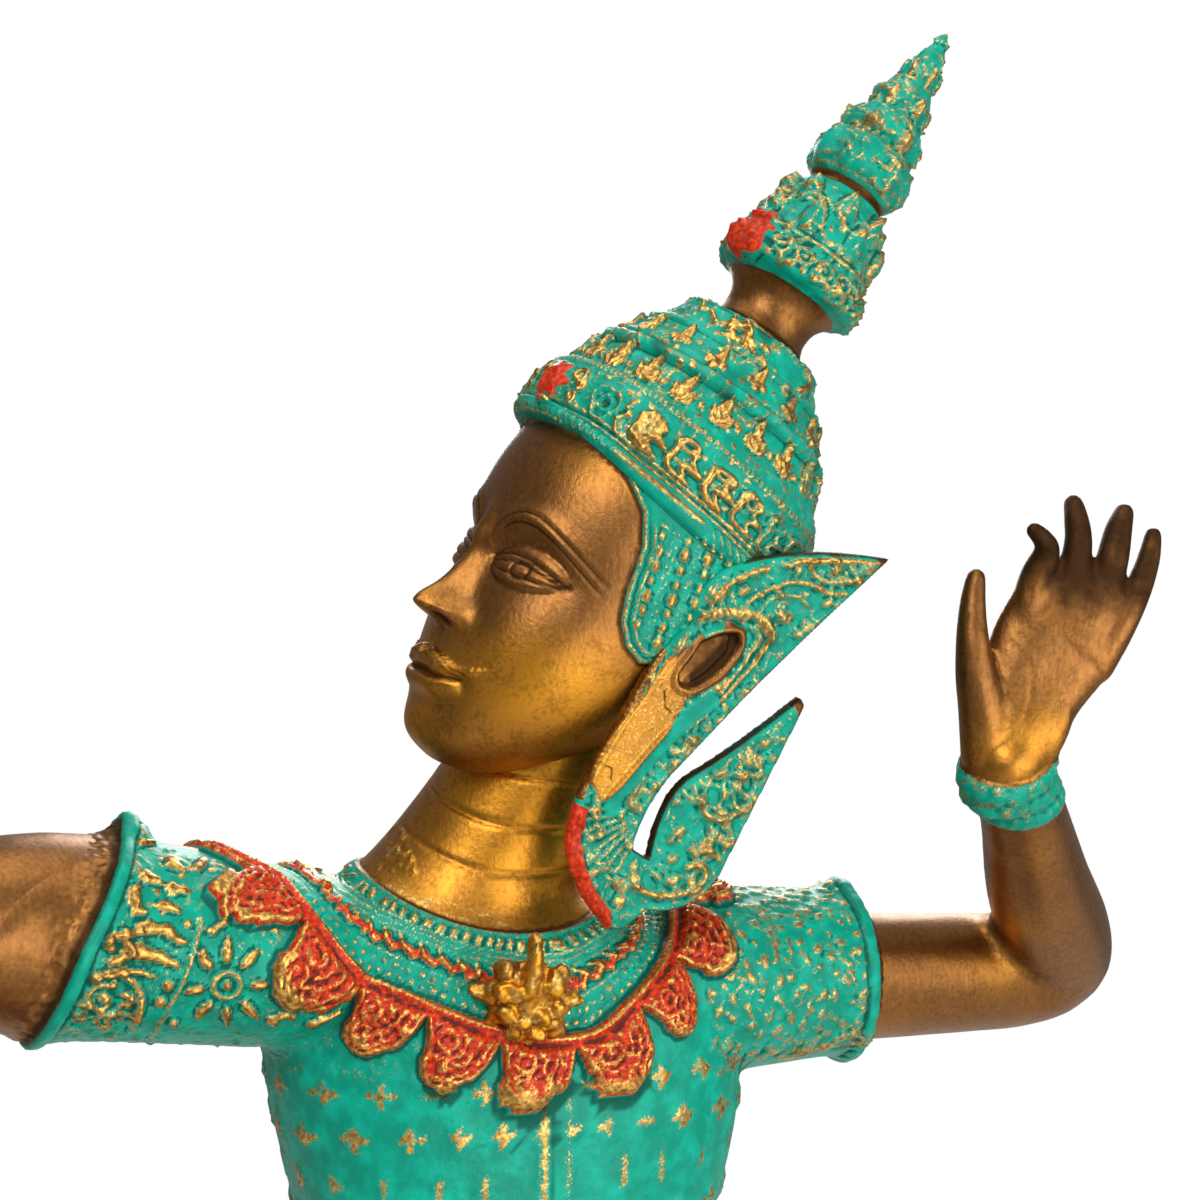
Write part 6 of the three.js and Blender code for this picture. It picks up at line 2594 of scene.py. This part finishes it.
    def hangings(self, skin: Skin) -> None:
        """The sash, the tail behind and the flaps: green with gold rims, lozenges and scrolls.

        Args:
            skin: the body's skin.
        """
        x, y, z = skin.points.T
        for centre, front, low in ((24, y < -20, 148), (18, y > 30, 154)):
            s = x - centre
            on = ease(z, 254, 251) * ease(np.abs(s), 17.5, 16.8) * ease(z, low - 1, low + 1) * front
            on *= ease(np.abs(skin.normals[:, 1]), 0.3, 0.6)
            skin.paint(TEAL, on)
            width = 14.6 * ease(z, low - 3, low + 30) ** 0.5
            skin.emboss(bell(np.abs(s) - width, 0.9) * on, 0.9, GOLD, 1.0)
            row, _ = cell(z - 200, 16)
            skin.emboss(ease(np.abs(s) / 5.6 + np.abs(row) / 6.4, 1.0, 0.7) * on, 0.8, GOLD, 0.9)
            skin.paint(RED, 1.1 * ease(np.abs(s) / 2.6 + np.abs(row) / 3.2, 1.0, 0.6) * on)
        for side, at in ((1, 44), (-1, -28)):
            s = side * (x - at)
            flat = ease(np.abs(skin.normals[:, 1]), 0.4, 0.7) * ease(np.abs(y - 4), 16, 13)
            flat = flat * ease(s, 6, 8) * ease(s, 56, 54) * ease(z, 238, 241) * ease(z, 300, 296)
            skin.paint(TEAL, flat)
            line = line_distance(
                s, z, smooth_line(((2, 254), (18, 250), (32, 256), (42, 268), (48, 286)), 4)
            )
            skin.emboss(bell(line, 1.2) * flat, 0.9, GOLD, 1.0)
            skin.emboss(bell(line - 6, 0.9) * flat, 0.7, GOLD, 0.85)

    def anklets(self, skin: Skin) -> None:
        """A green and gold band over each ankle.

        Args:
            skin: the body's skin.
        """
        for centre, axis in (((-158, -90, 66), (0, 0, 1)), ((166, 31, 60), (0.82, 0.56, 0.1))):
            away = skin.points - np.asarray(centre)
            along = away @ unit(axis)
            near = np.linalg.norm(away, axis=1) < 24
            on = ease(np.abs(along), 6.6, 5.8) * near
            skin.raise_by(2.2 * on)
            skin.clear(on, WARM)
            skin.paint(TEAL, on)
            skin.emboss(bell(np.abs(along) - 4.6, 0.9) * near, 0.5, GOLD, 0.95)


def panel(
    name: str, outline: Points, depth: float, at: Point, heading: float, lean: float
) -> Object:
    """A flat plate with a smooth outline, stood up at a place, turned about the vertical and leant.

    Args:
        name: the object's name.
        outline: points across and up, in millimetres.
        depth: the plate's thickness.
        at: where the outline's origin goes.
        heading: degrees about the vertical.
        lean: degrees that its top leans back.

    Returns:
        The new object.
    """
    ring = smooth_line([*outline, outline[0]], 5)[:-1]
    code = bmesh.new()
    code.faces.new([code.verts.new((x * MM, y * MM, 0.0)) for x, y in ring])
    grown = bmesh.ops.extrude_face_region(code, geom=list(code.faces))["geom"]
    moved = [g for g in grown if isinstance(g, bmesh.types.BMVert)]
    bmesh.ops.translate(code, verts=moved, vec=(0, 0, depth * MM))
    stood = Matrix.Rotation(math.radians(90 + lean), 4, "X")
    turn = Matrix.Rotation(math.radians(heading), 4, "Z") @ stood
    bmesh.ops.transform(code, matrix=Matrix.Translation(Vector(at) * MM) @ turn, verts=code.verts)
    bmesh.ops.recalc_face_normals(code, faces=code.faces)
    return store(name, code)


# The base


@dataclass
class Base:
    """The low moulded plate under the figure."""

    length: float = 446.0
    width: float = 236.0
    corner: float = 17.0
    centre: Point = (0, -28)
    groove: float = 9.5
    profile: Points = (
        # inset, height
        (0.6, 0), (0, 0.7), (0, 6.4), (0.8, 7.6), (2.6, 8.1), (4, 9.4), (4.2, 13), (3.9, 16.2),
        (2.4, 18), (1.5, 18.8), (1.4, 21.6), (2.2, 23.3), (3.8, 24), (10, 24),
    )

    def build(self, material: Material) -> Object:
        """The finished plate.

        Args:
            material: its finish.

        Returns:
            The new object.
        """
        code = bmesh.new()
        corners = [code.verts.new((x * MM, y * MM, 0.0)) for x, y in self.ring(self.profile[0][0])]
        edges = [code.edges.new(pair) for pair in zip(corners, corners[1:] + corners[:1])]
        code.faces.new(corners)
        for inset, height in self.profile[1:]:
            made = bmesh.ops.extrude_edge_only(code, edges=edges)["geom"]
            edges = [g for g in made if isinstance(g, bmesh.types.BMEdge)]
            for vert in (g for g in made if isinstance(g, bmesh.types.BMVert)):
                vert.co = self.moved(vert.co, inset, height)
        bmesh.ops.contextual_create(code, geom=edges)
        bmesh.ops.recalc_face_normals(code, faces=code.faces)
        skin = Skin(store("base_plate", code))
        # painted shade low in the recessed band of the moulding
        skin.paint(DARK, 0.5 * bell(skin.points[:, 2] - self.groove, 1.6))
        return skin.finish(material)

    def ring(self, inset: float) -> list[tuple[float, float]]:
        """The plate's plan, smaller all round by an inset.

        Args:
            inset: how much smaller.

        Returns:
            Its points, as x and y.
        """
        points = []
        x, y = self.length / 2 - self.corner, self.width / 2 - self.corner
        for quarter, (sx, sy) in enumerate(((1, 1), (-1, 1), (-1, -1), (1, -1))):
            for k in range(13):
                angle = math.pi / 2 * (quarter + k / 12)
                reach = self.corner - inset
                points.append((self.centre[0] + sx * x + reach * math.cos(angle),
                               self.centre[1] + sy * y + reach * math.sin(angle)))
        return points

    def moved(self, co: Vector, inset: float, height: float) -> Vector:
        """A point of the plan's first ring put on the ring of another inset, at a height.

        Args:
            co: the point, in metres.
            inset: the other ring's inset.
            height: the height.

        Returns:
            The new place, in metres.
        """
        x, y = self.length / 2 - self.corner, self.width / 2 - self.corner
        px, py = co.x / MM - self.centre[0], co.y / MM - self.centre[1]
        corner = np.array([math.copysign(x, px), math.copysign(y, py)])
        way = unit((px, py) - corner)
        plan = self.centre + corner + (self.corner - inset) * way
        return Vector((*plan, height)) * MM


# The studio


@dataclass
class Studio:
    """A pale floor, soft lights and the camera at the photograph's place."""

    target: Point = (29, -11.7, 516)
    distance: float = 560.0
    azimuth: float = -22.0
    lens: float = 67.2
    floor_radius: float = 1.15
    floor_colour: Point = (0.72, 0.71, 0.69, 1)
    room_light: float = 0.3
    aim: Point = (20, -20, 480)
    lamps: Sequence[tuple[str, Point, float, float]] = (
        # name, place, width in metres, power in watts
        ("key", (-620, -980, 1240), 0.75, 12.5), ("fill", (760, -900, 620), 0.9, 6.5),
        ("top", (60, -150, 1500), 0.9, 7.0), ("rim", (420, 800, 900), 0.6, 7.0),
        ("low", (260, -1050, 250), 0.7, 6.0),
    )

    def build(self) -> None:
        """Makes the floor, lights, world and camera."""
        self.camera()
        self.floor()
        self.world()
        for lamp in self.lamps:
            self.lamp(*lamp)
        bpy.context.scene.view_settings.view_transform = "Standard"

    def camera(self) -> None:
        """The camera, level, at the photograph's angle."""
        turn = math.radians(self.azimuth)
        back = Vector((math.sin(turn), -math.cos(turn), 0))
        data = bpy.data.cameras.new("camera")
        data.lens = self.lens
        data.sensor_width = 36
        data.clip_start = 0.05
        camera = bpy.data.objects.new("camera", data)
        bpy.context.scene.collection.objects.link(camera)
        camera.location = (Vector(self.target) + back * self.distance) * MM
        camera.rotation_euler = (-back).to_track_quat("-Z", "Y").to_euler()
        bpy.context.scene.camera = camera

    def floor(self) -> None:
        """A pale matt disc."""
        code = bmesh.new()
        bmesh.ops.create_circle(code, cap_ends=True, segments=96, radius=self.floor_radius)
        disc = store("floor", code)
        material = bpy.data.materials.new("pale floor")
        material.use_nodes = True
        surface = material.node_tree.nodes["Principled BSDF"]
        surface.inputs["Base Color"].default_value = self.floor_colour
        surface.inputs["Roughness"].default_value = 0.85
        disc.data.materials.append(material)

    def world(self) -> None:
        """A white room, dimmer in its light than it looks."""
        world = bpy.data.worlds.new("room")
        bpy.context.scene.world = world
        world.use_nodes = True
        tree = world.node_tree
        tree.nodes.clear()
        paths = tree.nodes.new("ShaderNodeLightPath")
        shown = tree.nodes.new("ShaderNodeBackground")
        shown.inputs["Color"].default_value = (1, 1, 1, 1)
        lit = tree.nodes.new("ShaderNodeBackground")
        lit.inputs["Color"].default_value = (1, 0.98, 0.95, 1)
        lit.inputs["Strength"].default_value = self.room_light
        mix = tree.nodes.new("ShaderNodeMixShader")
        out = tree.nodes.new("ShaderNodeOutputWorld")
        tree.links.new(paths.outputs["Is Camera Ray"], mix.inputs["Fac"])
        tree.links.new(lit.outputs[0], mix.inputs[1])
        tree.links.new(shown.outputs[0], mix.inputs[2])
        tree.links.new(mix.outputs[0], out.inputs["Surface"])

    def lamp(self, name: str, place: Point, size: float, power: float) -> None:
        """A soft square lamp that faces the figure.

        Args:
            name: the lamp's name.
            place: its middle, in millimetres.
            size: its width, in metres.
            power: its power, in watts.
        """
        data = bpy.data.lights.new(name, "AREA")
        data.shape = "SQUARE"
        data.size = size
        data.energy = power
        lamp = bpy.data.objects.new(name, data)
        bpy.context.scene.collection.objects.link(lamp)
        lamp.location = Vector(place) * MM
        lamp.rotation_euler = (
            (Vector(self.aim) * MM - lamp.location).to_track_quat("-Z", "Y").to_euler()
        )


def main() -> None:
    """Loads the frame, builds every piece around it and sets up the studio."""
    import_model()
    painted = Finish("painted bronze").build()
    metal = Finish("base bronze", warmth=-0.1, roughness=0.46).build()
    pieces = (
        ("head", lambda: Head().build(painted), ("figure",), "bronze"),
        ("crown", lambda: Crown().build(painted), ("figure",), "bronze"),
        ("trunk", lambda: Torso().build(painted), ("figure",), "bronze"),
        ("limbs", lambda: Body().build(painted), ("figure",), "bronze"),
        ("spire", lambda: Spire().build(painted), ("crown_spire",), "painted_bronze"),
        ("left ear ornament", lambda: EarPlate(1).build(painted),
         ("ear_ornament_left",), "painted_bronze"),
        ("right ear ornament", lambda: EarPlate(-1, voxel=0.7).build(painted),
         ("ear_ornament_right",), "painted_bronze"),
        ("base", lambda: Base().build(metal), ("base",), "base_bronze"),
    )
    for words, make, nodes, slot in pieces:
        piece = make()
        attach(piece, "root")
        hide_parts(*nodes)
        LOG.info("%s: %d faces", words, len(piece.data.polygons))
    Studio().build()


if __name__ == "__main__":
    logging.basicConfig(level=logging.INFO, format="%(name)s: %(message)s")
    main()
